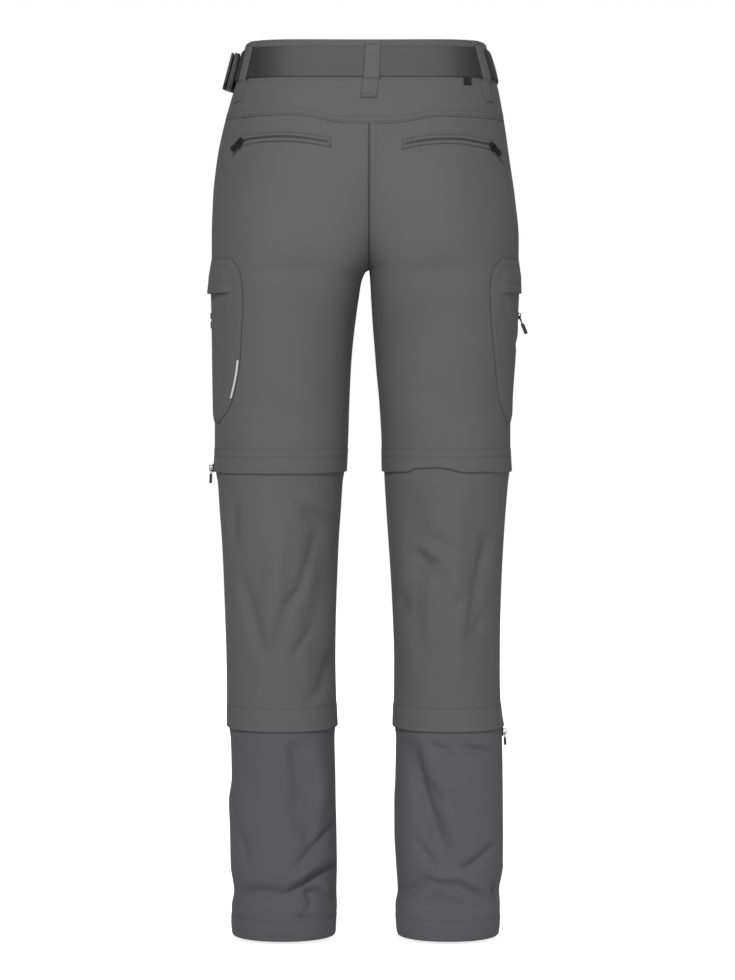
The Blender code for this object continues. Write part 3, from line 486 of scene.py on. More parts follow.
def panel_angle(leg, side, facing, share, z):
    """The angle of a panel's column: share 0 is the inseam or middle line, 1 the side seam."""
    return facing * first_angle(leg, side, z) * (1 - share)


def on_panel(leg, side, facing, share, z, out=0.0):
    """Points of a panel's cloth at these shares across it and heights, moved out from it."""
    return cloth(leg, side, panel_angle(leg, side, facing, share, z), z, out)


def angle_at(leg, side, out, z):
    """The angle on the back at which the cloth lies this far out from the middle line."""
    centre, half = ring(leg, side, z)[:2]
    share = np.clip((out - centre) / half, -1, 1)
    power = roundness((share < 0) & (leg == "thigh"), z)
    return np.degrees(np.arccos(np.sign(share) * np.abs(share) ** (power / 2)))


def waist_top(angle):
    """The waistband's top edge. It curves up at the back and, less, at the sides."""
    back = np.sin(np.radians(angle))
    return 23.5 + 8.0 * back - 10.5 * back**2


def belt_centre(angle):
    """The height of the belt's middle line, which follows the waistband."""
    back = np.sin(np.radians(angle))
    return -3.0 + 7.5 * back - 9.0 * back**2


def waist_bottom(angle):
    return belt_centre(angle) - BELT_WIDTH / 2 - WAISTBAND_UNDER_BELT


def yoke_seam(side, share):
    """The height of the seam under the yoke. It dips towards the centre back."""
    high = {"left": -65.0, "right": -66.5}[side]
    out = np.abs(on_panel("thigh", side, 1, share, high)[..., 0] - MIDDLE_LINE)
    return high - (high + 75.5) * (1 - ease(22, 88, out))


def knee_hem(side, facing, share):
    """The thigh's lower edge. On the wearer's right it lifts at the back."""
    share = np.asarray(share, float)
    if side == "left" or facing < 0:
        return KNEE_HEM + 0 * share
    out = np.abs(on_panel("thigh", side, 1, share, KNEE_HEM)[..., 0])
    arch = (0.8 * ease(47, 57, out) + 0.2 * ease(57, 80, out)) * (1 - ease(84, 118, out))
    return KNEE_HEM + 2.0 * ease(16, 42, out) * (1 - ease(138, 166, out)) + 5.6 * arch


# Meshes
def new_piece(name, points, faces, finish, uv):
    """A mesh object from points in millimetres, its faces turned outwards."""
    points = np.asarray(points, float)
    signed = 0.0
    for size in {len(face) for face in faces}:
        block = points[np.array([face for face in faces if len(face) == size])]
        for k in range(1, size - 1):
            signed += np.einsum("ij,ij->", block[:, 0], np.cross(block[:, k], block[:, k + 1]))
    if signed < 0:
        faces = [tuple(reversed(face)) for face in faces]
    mesh = bpy.data.meshes.new(name)
    mesh.from_pydata((points * MM).tolist(), [], faces)
    mesh.materials.append(finish)
    layer = mesh.uv_layers.new(name="Cloth")
    corners = np.empty(len(mesh.loops), int)
    mesh.loops.foreach_get("vertex_index", corners)
    layer.data.foreach_set("uv", (uv[corners] * MM).astype(np.float32).ravel())
    mesh.shade_smooth()
    mesh.set_sharp_from_angle(angle=SHARP_FROM)
    return put_in_scene(name, mesh)


def put_in_scene(name, data):
    made = bpy.data.objects.new(name, data)
    bpy.context.scene.collection.objects.link(made)
    return made


def lengths(points):
    """How far along the cloth each point of a grid lies from its row's and its column's start."""
    across = np.linalg.norm(np.diff(points, axis=1), axis=2).cumsum(axis=1)
    down = np.linalg.norm(np.diff(points, axis=0), axis=2).cumsum(axis=0)
    across = np.concatenate([np.zeros((points.shape[0], 1)), across], axis=1)
    return across, np.concatenate([np.zeros((1, points.shape[1])), down], axis=0)


def shell(name, outer, inner, finish, filled=None, closed=False):
    """A closed wall between two grids of points, rows by columns. filled leaves cells out."""
    rows, columns = outer.shape[:2]
    last = columns if closed else columns - 1
    filled = np.ones((rows - 1, last), bool) if filled is None else filled
    size = rows * columns
    faces = []

    def has(row, column):
        if closed:
            column %= last
        return 0 <= row < rows - 1 and 0 <= column < last and filled[row, column]

    for row in range(rows - 1):
        for column in range(last):
            if not filled[row, column]:
                continue
            right = (column + 1) % columns
            a, b = row * columns + column, row * columns + right
            c, d = b + columns, a + columns
            faces.append((a, b, c, d))
            faces.append((d + size, c + size, b + size, a + size))
            if not has(row - 1, column):
                faces.append((b, a, a + size, b + size))
            if not has(row, column + 1):
                faces.append((c, b, b + size, c + size))
            if not has(row + 1, column):
                faces.append((d, c, c + size, d + size))
            if not has(row, column - 1):
                faces.append((a, d, d + size, a + size))
    across, down = lengths(outer)
    uv = np.stack([across - across.mean(axis=1, keepdims=True), down], axis=-1).reshape(-1, 2)
    points = np.concatenate([outer.reshape(-1, 3), inner.reshape(-1, 3)])
    used = np.unique(np.array(faces))
    place = np.zeros(len(points), int)
    place[used] = np.arange(len(used))
    faces = [tuple(place[list(face)]) for face in faces]
    return new_piece(name, points[used], faces, finish, np.concatenate([uv, uv])[used])


def cell_areas(outer):
    """The areas of a grid's cells, each as two triangles."""
    corner = outer[:-1, :-1]
    first = np.cross(outer[:-1, 1:] - corner, outer[1:, 1:] - corner)
    second = np.cross(outer[1:, 1:] - corner, outer[1:, :-1] - corner)
    return (np.linalg.norm(first, axis=2) + np.linalg.norm(second, axis=2)) / 2


def sew(node, kind, outer, inner, finish, slot="grey_cloth", held="hung", filled=None, closed=False, on=()):
    """A wall that stands for its CAD node and moves with the garment. Unless held is None, it also
    works out the area and flat size of its grid, and uses them no further."""
    piece = shell(f"{node}_{kind}", outer, inner, finish, filled, closed)
    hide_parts(node)
    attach(piece, GARMENT)
    if held is None:
        return
    grid = np.concatenate([outer, outer[:, :1]], axis=1) if closed else outer
    areas = cell_areas(grid)
    area = areas.sum() if filled is None else areas[filled].sum()
    width = np.linalg.norm(np.diff(grid, axis=1), axis=2).sum(axis=1).max()
    length = np.linalg.norm(np.diff(grid, axis=0), axis=2).sum(axis=0).max()
    area = float(min(area, width * length))


def wall(node, kind, place, high, low, finish, **how):
    """Sews on a piece that lies between two heights above a leg's cloth. place gives the leg,
    the side, and the grid's angles and heights."""
    sew(node, kind, cloth(*place, high), cloth(*place, low), finish, **how)


# Finishes
def add(tree, kind, **values):
    """A node with its properties set, and its inputs given by name."""
    made = tree.nodes.new(kind)
    inputs = values.pop("inputs", {})
    for key, value in values.items():
        setattr(made, key, value)
    for key, value in inputs.items():
        if isinstance(value, bpy.types.NodeSocket):
            tree.links.new(value, made.inputs[key])
        else:
            made.inputs[key].default_value = value
    return made


def group_tree(name, inputs, outputs):
    """A shader group with these named inputs and outputs, and its two end nodes."""
    tree = bpy.data.node_groups.new(name, "ShaderNodeTree")
    for label, kind in inputs:
        tree.interface.new_socket(label, in_out="INPUT", socket_type=kind)
    for label, kind in outputs:
        tree.interface.new_socket(label, in_out="OUTPUT", socket_type=kind)
    return tree, tree.nodes.new("NodeGroupInput").outputs, tree.nodes.new("NodeGroupOutput").inputs


def math_node(tree, operation, first, second=None):
    made = tree.nodes.new("ShaderNodeMath")
    made.operation = operation
    for index, value in enumerate((first, second)):
        if isinstance(value, bpy.types.NodeSocket):
            tree.links.new(value, made.inputs[index])
        elif value is not None:
            made.inputs[index].default_value = value
    return made.outputs[0]


def scaled(tree, value, by, plus):
    return math_node(tree, "ADD", math_node(tree, "MULTIPLY", value, by), plus)


def tinted(tree, colour, amount):
    values = {0: colour, "Scale": amount}
    return add(tree, "ShaderNodeVectorMath", operation="SCALE", inputs=values).outputs[0]


def noise(tree, place, scale, detail):
    values = {"Vector": place, "Scale": scale, "Detail": detail}
    return add(tree, "ShaderNodeTexNoise", inputs=values).outputs[0]


NUMBER, COLOUR, VECTOR = "NodeSocketFloat", "NodeSocketColor", "NodeSocketVector"
LOOKS = (("Colour", COLOUR), ("Roughness", NUMBER), ("Height", NUMBER))


def woven_group():
    """Plain weave: yarns over and under each other, slow unevenness and fine flecks of colour."""
    takes = (("Flat", VECTOR), ("Place", VECTOR), ("Colour", COLOUR), ("Yarns", NUMBER), ("Mottle", NUMBER))
    tree, given, result = group_tree("woven_cloth", takes, LOOKS)
    flat = add(tree, "ShaderNodeSeparateXYZ", inputs={0: given["Flat"]})
    yarns = [math_node(tree, "MULTIPLY", flat.outputs[way], given["Yarns"]) for way in (0, 1)]
    warp, weft = (math_node(tree, "SINE", yarn) for yarn in yarns)
    weave = math_node(tree, "MULTIPLY", warp, weft)
    slow = noise(tree, given["Place"], 11.0, 3.0)
    fleck = noise(tree, given["Place"], 620.0, 2.0)
    flecked = math_node(tree, "MULTIPLY", math_node(tree, "SUBTRACT", fleck, 0.5), 0.6)
    uneven = math_node(tree, "ADD", math_node(tree, "SUBTRACT", slow, 0.5), flecked)
    shade = scaled(tree, uneven, given["Mottle"], 1.0)
    tree.links.new(tinted(tree, given["Colour"], shade), result["Colour"])
    tree.links.new(scaled(tree, slow, 0.14, 0.74), result["Roughness"])
    tree.links.new(scaled(tree, fleck, 0.8, weave), result["Height"])
    return tree


def surface(name, group, colour, values, bump_strength, bump_mm):
    """A material whose colour, gloss and relief come from a shader group with these values."""
    made = bpy.data.materials.new(name)
    made.use_nodes = True
    tree = made.node_tree
    shader = tree.nodes["Principled BSDF"]
    place = add(tree, "ShaderNodeTexCoord").outputs["Object"]
    values = {"Place": place, "Colour": (*colour, 1), **values}
    looks = add(tree, "ShaderNodeGroup", node_tree=group, inputs=values)
    relief = {"Strength": bump_strength, "Distance": bump_mm * MM, "Height": looks.outputs["Height"]}
    bump = add(tree, "ShaderNodeBump", inputs=relief)
    tree.links.new(looks.outputs["Colour"], shader.inputs["Base Color"])
    tree.links.new(looks.outputs["Roughness"], shader.inputs["Roughness"])
    tree.links.new(bump.outputs["Normal"], shader.inputs["Normal"])
    return made, shader, looks, place


def woven(name, colour, mottle, pitch_mm, depth_mm, sheen, painted_shade_ends=None):
    """A cloth whose yarns lie this far apart, in millimetres. The last argument paints shade into its colour,
    darker outwards from the middle.
    """
    values = {"Yarns": math.pi / (pitch_mm * MM), "Mottle": mottle}
    made, shader, looks, place = surface(name, WOVEN, colour, values, 0.5, depth_mm)
    tree = made.node_tree
    flat = add(tree, "ShaderNodeUVMap", uv_map="Cloth")
    tree.links.new(flat.outputs["UV"], looks.inputs["Flat"])
    if painted_shade_ends:
        # Painted shade: the colour darkens between start and end millimetres out from the middle, down to
        # least of itself
        start, end, least = painted_shade_ends
        out = math_node(tree, "ABSOLUTE", add(tree, "ShaderNodeSeparateXYZ", inputs={0: place}).outputs[0])
        limits = {"From Min": start * MM, "From Max": end * MM, "To Min": 1.0, "To Max": least}
        fade = {"Value": out, **limits}
        painted_shade_ramp = add(tree, "ShaderNodeMapRange", interpolation_type="SMOOTHSTEP", inputs=fade)
        shade = tinted(tree, looks.outputs["Colour"], painted_shade_ramp.outputs["Result"])
        tree.links.new(shade, shader.inputs["Base Color"])
    shader.inputs["Sheen Weight"].default_value = sheen
    shader.inputs["Sheen Roughness"].default_value = 0.45
    shader.inputs["Specular IOR Level"].default_value = 0.25
    return made


def moulded_group():
    """Moulded plastic: a fine grain, and handling marks that change the gloss."""
    takes = (("Place", VECTOR), ("Colour", COLOUR), ("Gloss", NUMBER))
    tree, given, result = group_tree("moulded_plastic", takes, LOOKS)
    grain = noise(tree, given["Place"], 2400.0, 2.0)
    marks = noise(tree, given["Place"], 260.0, 4.0)
    tree.links.new(tinted(tree, given["Colour"], scaled(tree, marks, 0.5, 0.75)), result["Colour"])
    tree.links.new(scaled(tree, marks, 0.22, given["Gloss"]), result["Roughness"])
    tree.links.new(grain, result["Height"])
    return tree


def moulded(name, colour, gloss):
    return surface(name, MOULDED, colour, {"Gloss": gloss}, 0.3, 0.05)[0]


WOVEN = woven_group()
MOULDED = moulded_group()
GREY_CLOTH = woven("grey_cloth_woven", (0.117, 0.117, 0.118), 0.16, 0.55, 0.10, 0.04)
ANKLE_CLOTH = {
    "left": woven("ankle_left_cloth", (0.104, 0.103, 0.115), 0.16, 0.55, 0.10, 0.04),
    "right": woven("ankle_right_cloth", (0.112, 0.111, 0.117), 0.16, 0.55, 0.10, 0.04),
}
# The belt's back has painted shade, its colour darker towards both ends
BELT_CLOTH = woven("belt_cloth_woven", (0.097, 0.097, 0.099), 0.22, 0.9, 0.16, 0.04, (75, 132, 0.36))
WEBBING = woven("black_webbing_woven", (0.019, 0.019, 0.021), 0.25, 1.1, 0.25, 0.05)
PIPING = woven("silver_piping_woven", (0.66, 0.67, 0.68), 0.12, 0.3, 0.05, 0.0)
ZIP_TAPE = woven("zip_tape_woven", (0.085, 0.085, 0.087), 0.2, 0.5, 0.1, 0.0)
THREAD = moulded("charcoal_thread", (0.075, 0.075, 0.077), 0.6)
# Near-black thread for painted seam shadows
SEAM_SHADOW_THREAD = moulded("seam_shadow_thread", (0.030, 0.030, 0.031), 0.6)
COIL = moulded("charcoal_coil", (0.072, 0.072, 0.074), 0.5)
PLASTIC = moulded("black_plastic_moulded", (0.014, 0.014, 0.015), 0.28)


# Rows of stitches and zip teeth
def row_tree(name, finish, cornered):
    """Geometry Nodes that set one small shape after another along each line of a mesh."""
    tree = bpy.data.node_groups.new(name, "GeometryNodeTree")
    tree.interface.new_socket("Geometry", in_out="INPUT", socket_type="NodeSocketGeometry")
    for label in ("Pitch", "Length", "Radius"):
        tree.interface.new_socket(label, in_out="INPUT", socket_type="NodeSocketFloat")
    tree.interface.new_socket("Geometry", in_out="OUTPUT", socket_type="NodeSocketGeometry")
    given = tree.nodes.new("NodeGroupInput").outputs
    result = tree.nodes.new("NodeGroupOutput").inputs
    line = add(tree, "GeometryNodeMeshToCurve", inputs={"Mesh": given["Geometry"]})
    spaced = add(tree, "GeometryNodeResampleCurve", mode="LENGTH", inputs={"Curve": line.outputs[0]})
    tree.links.new(given["Pitch"], spaced.inputs["Length"])
    if cornered:
        shape = add(tree, "GeometryNodeMeshCube", inputs={"Size": (2, 2, 2)})
    else:
        shape = add(tree, "GeometryNodeMeshUVSphere", inputs={"Segments": 6, "Rings": 4})
    tangent = add(tree, "GeometryNodeInputTangent")
    turned = add(tree, "FunctionNodeAlignRotationToVector", axis="Z", inputs={"Vector": tangent.outputs[0]})
    size = add(tree, "ShaderNodeCombineXYZ", inputs={0: given["Radius"], 1: given["Radius"]})
    half = math_node(tree, "MULTIPLY", given["Length"], 0.5)
    tree.links.new(half, size.inputs[2])
    sources = {"Points": spaced, "Instance": shape, "Rotation": turned, "Scale": size}
    sources = {label: node.outputs[0] for label, node in sources.items()}
    placed = add(tree, "GeometryNodeInstanceOnPoints", inputs=sources)
    real = add(tree, "GeometryNodeRealizeInstances", inputs={0: placed.outputs[0]})
    shading = {0: real.outputs[0], "Shade Smooth": not cornered}
    smooth = add(tree, "GeometryNodeSetShadeSmooth", inputs=shading)
    looks = {"Geometry": smooth.outputs[0], "Material": finish}
    finished = add(tree, "GeometryNodeSetMaterial", inputs=looks)
    tree.links.new(finished.outputs[0], result[0])
    return tree


def row_piece(name, lines, tree, pitch=STITCH_PITCH, length=STITCH_LENGTH, radius=THREAD_RADIUS):
    """The small shapes along these lines, as one plain mesh that moves with the garment."""
    points = np.concatenate(lines) * MM
    edges, start = [], 0
    for line in lines:
        edges += [(start + i, start + i + 1) for i in range(len(line) - 1)]
        start += len(line)
    mesh = bpy.data.meshes.new(name + "_lines")
    mesh.from_pydata(points.tolist(), edges, [])
    guide = put_in_scene(name + "_lines", mesh)
    rows = guide.modifiers.new("rows", "NODES")
    rows.node_group = tree
    values = {"Pitch": pitch * MM, "Length": length * MM, "Radius": radius * MM}
    for item in tree.interface.items_tree:
        if item.name in values and item.in_out == "INPUT":
            rows[item.identifier] = values[item.name]
    bpy.context.view_layer.update()
    graph = bpy.context.evaluated_depsgraph_get()
    made = put_in_scene(name, bpy.data.meshes.new_from_object(guide.evaluated_get(graph)))
    made.data.name = name
    bpy.data.objects.remove(guide, do_unlink=True)
    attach(made, GARMENT)
    return made


STITCHES = row_tree("stitch_row", THREAD, False)
# Rows of near-black thread that paint the shadows in seams
SHADOW_CORDS = row_tree("seam_shadow_cord", SEAM_SHADOW_THREAD, False)
COIL_TEETH = row_tree("zip_coil", COIL, True)
TEETH = row_tree("zip_teeth", PLASTIC, True)


# The legs' panels
PANEL_WIDTH = {"thigh": 235.0, "shin": 205.0, "ankle": 187.0}
EDGE_STEPS = (0, 0.5, 1.2, 2, 2.8, 4.5, 6.2, 7, 7.8, 9, 12)
UPPER_COLUMNS, LOWER_COLUMNS = 46, 44
ROW_PITCH = {"shin": 4.2, "ankle": 3.2}


def panel_shares(leg, columns):
    """Columns across a panel, close together beside the seams at both ends."""
    edge = np.array(EDGE_STEPS) / PANEL_WIDTH[leg]
    middle = np.linspace(edge[-1], 1 - edge[-1], columns)[1:-1]
    return np.concatenate([edge, middle, 1 - edge[::-1]])


def hem_steps(leg):
    """Heights above a hem, close together beside its edge and its stitches."""
    hem = HEMS[leg]
    steps = {0, 0.4, 0.9, 1.6, 3, 6, 10, 14, hem.height - 0.6, hem.height + 0.9, hem.height + 4}
    for line in hem.stitches:
        steps |= {line - 1.6, line - 0.8, line, line + 0.8, line + 1.6}
    return np.array(sorted(steps))


def sunk(out, distance, lines, depth):
    """Sinks the cloth under rows of stitches at these distances."""
    for line in lines:
        out = out - depth * bump_at(distance, line, STITCH_GROOVE)
    return out


def seam_relief(leg, side, facing, shares, above_hem, z):
    """How far seams, turned hems and rows of stitches stand out from the cloth or sink into it."""
    from_side = (1 - shares) * PANEL_WIDTH[leg] + 0 * z
    from_inner = shares * PANEL_WIDTH[leg] + 0 * z
    hem = HEMS[leg]
    out = 0.45 * (1 - ease(hem.height - 0.6, hem.height + 0.9, above_hem))
    out = out - 0.5 * bump_at(above_hem, 0, 0.7)
    out = sunk(out, above_hem, hem.stitches, 0.32)
    if facing > 0:
        out = sunk(out + 0.45 * (1 - ease(7.4, 8.8, from_side)), from_side, SEAM_STITCHES, 0.3)
        above = ease(CROTCH - 2, CROTCH + 8, z)
        if side == "right":
            out = out + above * 0.25 * (1 - ease(6.6, 8, from_inner))
            out = sunk(out, from_inner, SEAM_STITCHES, above * 0.2)
        out = out - 0.8 * above * bump_at(from_inner, 0, 1.1)
    else:
        below = 1 - ease(CROTCH - 6, CROTCH + 2, z)
        out = out + below * 0.35 * (1 - ease(4, 5.5, from_inner))
        out = sunk(out, from_inner, INSEAM_STITCHES, 0.3)
    return out - 0.4 * bump_at(from_side, 0, 0.5) - 0.4 * bump_at(from_inner, 0, 0.5)


def panel(node, leg, side, facing, heights, above_hem, columns, finish):
    """A leg's panel from rows of heights, which may differ from column to column."""
    shares = panel_shares(leg, columns)[None, :]
    z = heights + 0 * shares
    angles = panel_angle(leg, side, facing, shares, z)
    relief = seam_relief(leg, side, facing, shares, above_hem + 0 * shares, z)
    outer = meet_at_middle(leg, side, cloth(leg, side, angles, z, relief), z)
    inner = meet_at_middle(leg, side, cloth(leg, side, angles, z, -CLOTH), z)
    sew(node, "cloth", outer, inner, finish)


def meet_at_middle(leg, side, points, z):
    """Keeps both upper panels up to the middle line, where they are sewn together."""
    if leg != "thigh":
        return points
    above = z >= CROTCH - 0.5
    beyond = (points[..., 0] - MIDDLE_LINE) * SIDES[side] < 0
    points[..., 0] = np.where(above & beyond, MIDDLE_LINE, points[..., 0])
    points[:, 0, 0] = np.where(above[:, 0], MIDDLE_LINE, points[:, 0, 0])
    return points


def front_top(side, shares):
    """The front panels' upper edge, under the waistband."""
    return waist_bottom(panel_angle("thigh", side, -1, shares, -20.0))


def upper_panels():
    above = np.linspace(1, 0, 36)[:, None] ** 1.6
    below = np.linspace(0, 1, 44)[1:, None] ** 1.4
    steps = hem_steps("thigh")[::-1, None]
    shares = panel_shares("thigh", UPPER_COLUMNS)
    body_end = KNEE_HEM + steps[0] + 4 + 0 * shares
    for side in SIDES:
        for facing, word in FACINGS:
            hem = knee_hem(side, facing, shares)
            top = yoke_seam(side, shares) if facing > 0 else front_top(side, shares)
            rows = [top - np.array([0, 0.5, 1.2, 2.4])[:, None]]
            rows += [CROTCH + (top - 4 - CROTCH) * above, CROTCH + (body_end - CROTCH) * below]
            lifted = KNEE_HEM + steps + (hem - KNEE_HEM) * (1 - ease(3, 16, steps))
            heights = np.concatenate([*rows, lifted])
            above_hem = np.concatenate([np.concatenate(rows) - KNEE_HEM, steps + 0 * shares])
            panel(f"{word}_{side}", "thigh", side, facing, heights, above_hem, UPPER_COLUMNS, GREY_CLOTH)


def lower_panels():
    for leg, (_, covered_at) in COVERED_BY.items():
        top, hem = covered_at + TUCK, HEM_AT[leg]
        steps = hem_steps(leg)[::-1]
        body = np.linspace(top, hem + steps[0] + 4, int((top - hem) / ROW_PITCH[leg]))
        heights = np.concatenate([body, hem + steps])[:, None]
        for side in SIDES:
            finish = GREY_CLOTH if leg == "shin" else ANKLE_CLOTH[side]
            for facing, word in FACINGS:
                node = f"{leg}_{word}_{side}"
                panel(node, leg, side, facing, heights, heights - hem, LOWER_COLUMNS, finish)


# The waist
def round_waist(spans, heights_of, out_of):
    """Outer and inner grids of a band round the waist. A span is a side, 1 or -1 for back or
    front, and its columns' shares."""
    outer, inner = [], []
    for number, (side, facing, shares) in enumerate(spans):
        shares = shares if number == 0 else shares[1:]
        angle = panel_angle("thigh", side, facing, shares, 0.0)
        heights = heights_of(side, shares, angle)
        low, high = out_of(heights, angle)
        angles = panel_angle("thigh", side, facing, shares[None, :], heights)
        outer.append(cloth("thigh", side, angles, heights, high))
        inner.append(cloth("thigh", side, angles, heights, low))
    return np.concatenate(outer, axis=1), np.concatenate(inner, axis=1)


RISE = np.linspace(0, 1, 40)
ALL_ROUND = (("left", -1, RISE), ("left", 1, RISE[::-1]), ("right", 1, RISE), ("right", -1, RISE[::-1]))
ACROSS_BACK = (("left", 1, RISE[::-1]), ("right", 1, RISE))


def waistband():
    steps = np.array([0, 0.4, 1, 2, 2.6, 3.4, 6, 10, 20, 30, 40])[:, None]

    def heights_of(side, shares, angle):
        top, bottom = waist_top(angle), waist_bottom(angle)
        inside = top - steps * (top - bottom) / WAISTBAND_DEPTH
        return np.concatenate([inside, bottom + np.array([2.6, 1.2, 0.5, 0])[:, None]])

    def out_of(heights, angle):
        down = waist_top(angle) - heights
        up = heights - waist_bottom(angle)
        out = 0.35 - 0.3 * bump_at(down, 2.6, 0.8) - 0.55 * bump_at(down, 0, 0.5)
        return -CLOTH + 0.25 * bump_at(down, 0, 0.5), out - 0.5 * bump_at(up, 0, 0.6)

    sew("waistband", "cloth", *round_waist(ALL_ROUND, heights_of, out_of), GREY_CLOTH)


def back_yoke():
    steps = np.concatenate([[0, 0.6, 1.5], np.linspace(3, 40, 14), [40.8, 42, 43.4, 44.2, 45]]) / 45

    def heights_of(side, shares, angle):
        top, bottom = waist_bottom(angle), yoke_seam(side, shares)
        return top + (bottom - top) * steps[:, None]

    def out_of(heights, angle):
        up = heights - heights[-1:]
        out = 0.45 * ease(0.0, 0.8, up) * (1 - 0.3 * ease(7.5, 9, up)) - 0.3 * bump_at(up, 2.2, 0.8)
        return -CLOTH, out - 0.4 * bump_at(heights[:1] - heights, 0, 0.6)

    sew("back_yoke", "cloth", *round_waist(ACROSS_BACK, heights_of, out_of), GREY_CLOTH)


def belt():
    """The belt's cloth back and webbing front, each with rounded edges."""
    half = np.array([1, 0.985, 0.95, 0.88, 0.7, 0.45, 0.2])
    across = np.concatenate([half, [0], -half[::-1]])
    back = (("left", 1, np.linspace(0.75, 0, 40)), ("right", 1, np.linspace(0, 0.667, 36)))
    front = (
        ("right", 1, np.linspace(0.672, 1, 16)),
        ("right", -1, np.linspace(1, 0, 44)),
        ("left", -1, np.linspace(0, 1, 44)),
        ("left", 1, np.linspace(1, 0.756, 12)),
    )

    def heights_of(side, shares, angle):
        return belt_centre(angle) + across[:, None] * BELT_WIDTH / 2

    def out_of(heights, angle):
        edge = np.abs(across)[:, None]
        sag = 0.25 * np.sin(np.radians(angle) * 9 + 1.3) + 0.15 * np.sin(np.radians(angle) * 23)
        high = ROOM + BELT_THICK - 0.7 * edge**16 - 0.25 * bump_at(edge, 0.8, 0.06) + sag * (1 - edge**2)
        return ROOM + 0.3 * edge**16 + 0 * high, high

    for node, spans, finish, slot in (
        ("belt_back", back, BELT_CLOTH, "belt_cloth"),
        ("belt_front", front, WEBBING, "black_webbing"),
    ):
        outer, inner = round_waist(spans, heights_of, out_of)
        sew(node, "woven", outer, inner, finish, slot, "stretched", on=["waistband_cloth"])


def mm_per_degree(side, angle):
    pair = cloth("thigh", side, np.array([angle - 1, angle + 1]), np.zeros(2))
    return np.linalg.norm(pair[1] - pair[0]) / 2


def belt_loops():
    over_belt = ROOM + BELT_THICK + ROOM
    half = np.array([0.3, 0.6, 0.88, 0.96, 1])
    half = np.concatenate([-half[::-1], [0], half])[None, :]
    for name, side, angle, width, bottom in BELT_LOOPS:
        centre, top = float(belt_centre(angle)), float(waist_top(angle)) - 0.5
        high_edge, low_edge = centre + BELT_WIDTH / 2, centre - BELT_WIDTH / 2
        steps = [*(top - np.array([0, 0.5, 1.5])), high_edge + 3.2]
        steps += [*np.linspace(high_edge + 2.4, high_edge - 1, 5)]
        steps += [*np.linspace(high_edge - 4, low_edge + 2, 9), *np.linspace(low_edge + 1, low_edge - 5, 7)]
        steps += [*(bottom + np.array([5, 4.4, 3.8, 3, 1, 0.4, 0]))]
        z = np.array(sorted(steps, reverse=True))[:, None]
        rise = (1 - ease(high_edge + 0.4, high_edge + 2.6, z)) * ease(low_edge - 4.6, low_edge - 0.2, z)
        low = ROOM + (over_belt - ROOM) * rise
        across = half * width / 2
        angles = angle + across / mm_per_degree(side, angle) + 0 * z
        bar = 1 - ease(bottom + 3.8, bottom + 4.4, z)
        round_edge = 0.45 * (np.abs(across) * 2 / width) ** 12
        groove = 0.2 * bump_at(np.abs(across), width / 2 - 2, 0.7)
        high = low + 1.2 + 1.1 * bar - round_edge - groove - 0.4 * bump_at(z, bottom, 0.5)
        place = "thigh", side, angles, z + 0 * angles
        wall(name, "cloth", place, high, low, GREY_CLOTH, held="stretched")


def fly_and_label():
    z = np.linspace(-42, -188, 50)[:, None]
    shares = np.linspace(0.004, FLY_SHARE, 24)[None, :]
    angles = panel_angle("thigh", "left", -1, shares, z + 0 * shares)
    from_edge = (FLY_SHARE - shares) * PANEL_WIDTH["thigh"]
    high = 1.4 - 0.4 * bump_at(from_edge, 0, 0.8) - 0.3 * bump_at(from_edge, 7, 1.2)
    wall("fly_cover", "cloth", ("thigh", "left", angles, z), high, PRESSED, GREY_CLOTH)
    z = np.linspace(-20.6, -29.4, 12)[:, None]
    outs = np.linspace(112, 121, 12)[None, :]
    place = "thigh", "right", angle_at("thigh", "right", outs, z), z + 0 * outs
    edge = np.maximum(np.abs(outs - LABEL_OUT) / 4.5, np.abs(z - LABEL_Z) / 4.4)
    wall("label_tab", "woven", place, 1.3 - 0.3 * edge**8, ROOM, WEBBING, slot="black_webbing", held=None)


# Back pockets
def welt_angles(side, outs, offsets):
    """Angles and heights of rows that follow the arched line of a back pocket."""
    heights = smooth_curve(outs, WELT_LINE, side)[None, :] + offsets[:, None]
    return angle_at("thigh", side, outs[None, :] + 0 * heights, heights), heights


def back_pockets():
    first, last = WELT_LINE[0].z, WELT_LINE[-1].z
    outs = np.concatenate([first + np.array([0, 0.5, 1.2, 2.2]), np.linspace(first + 3, last - 3, 64)])
    outs = np.concatenate([outs, last - np.array([2.2, 1.2, 0.5, 0])])
    rows = np.array([5.2, 4.9, 4.4, 3.8, 3.0, 2.2, 1.7, 1.3, WELT_SLOT])
    rows = np.concatenate([rows, -rows[::-1]])
    from_middle = np.abs(rows)[:, None]
    filled = np.ones((len(rows) - 1, len(outs) - 1), bool)
    filled[len(rows) // 2 - 1, 4:-4] = False
    from_edge = np.minimum(WELT_HALF - from_middle, np.minimum(outs - first, last - outs)[None, :])
    high = 1.95 - 1.1 * (1 - ease(-0.2, 1.3, from_edge))
    high = high - 0.7 * (1 - ease(-0.2, 0.9, from_middle - WELT_SLOT)) + 0.25 * bump_at(from_middle, 2.8, 1.2)
    for side in SIDES:
        place = "thigh", side, *welt_angles(side, outs, rows)
        slotted = {"held": "stretched", "filled": filled}
        wall(f"back_pocket_welt_{side}", "cloth", place, high, PRESSED, GREY_CLOTH, **slotted)
        tape = np.linspace(outs[4], outs[-5], 60)
        place = "thigh", side, *welt_angles(side, tape, np.array([0.8, 0.3, -0.3, -0.8]))
        wall(f"back_pocket_zip_{side}", "tape", place, 0.9, 0.5, ZIP_TAPE, held=None)
        place = "thigh", side, *welt_angles(side, np.linspace(outs[5], outs[-6], 90), np.array([0.0]))
        line = cloth(*place, 1.05)[0]
        row_piece(f"back_pocket_teeth_{side}", [line], COIL_TEETH, 1.2, 0.7, 0.6)


# Cargo pockets on the thighs' sides
def cargo_angle(side, z):
    """The angle of the cargo pocket's back edge. Its front edge is as far forward."""
    return angle_at("thigh", side, smooth_curve(z, CARGO_EDGE, side), z)


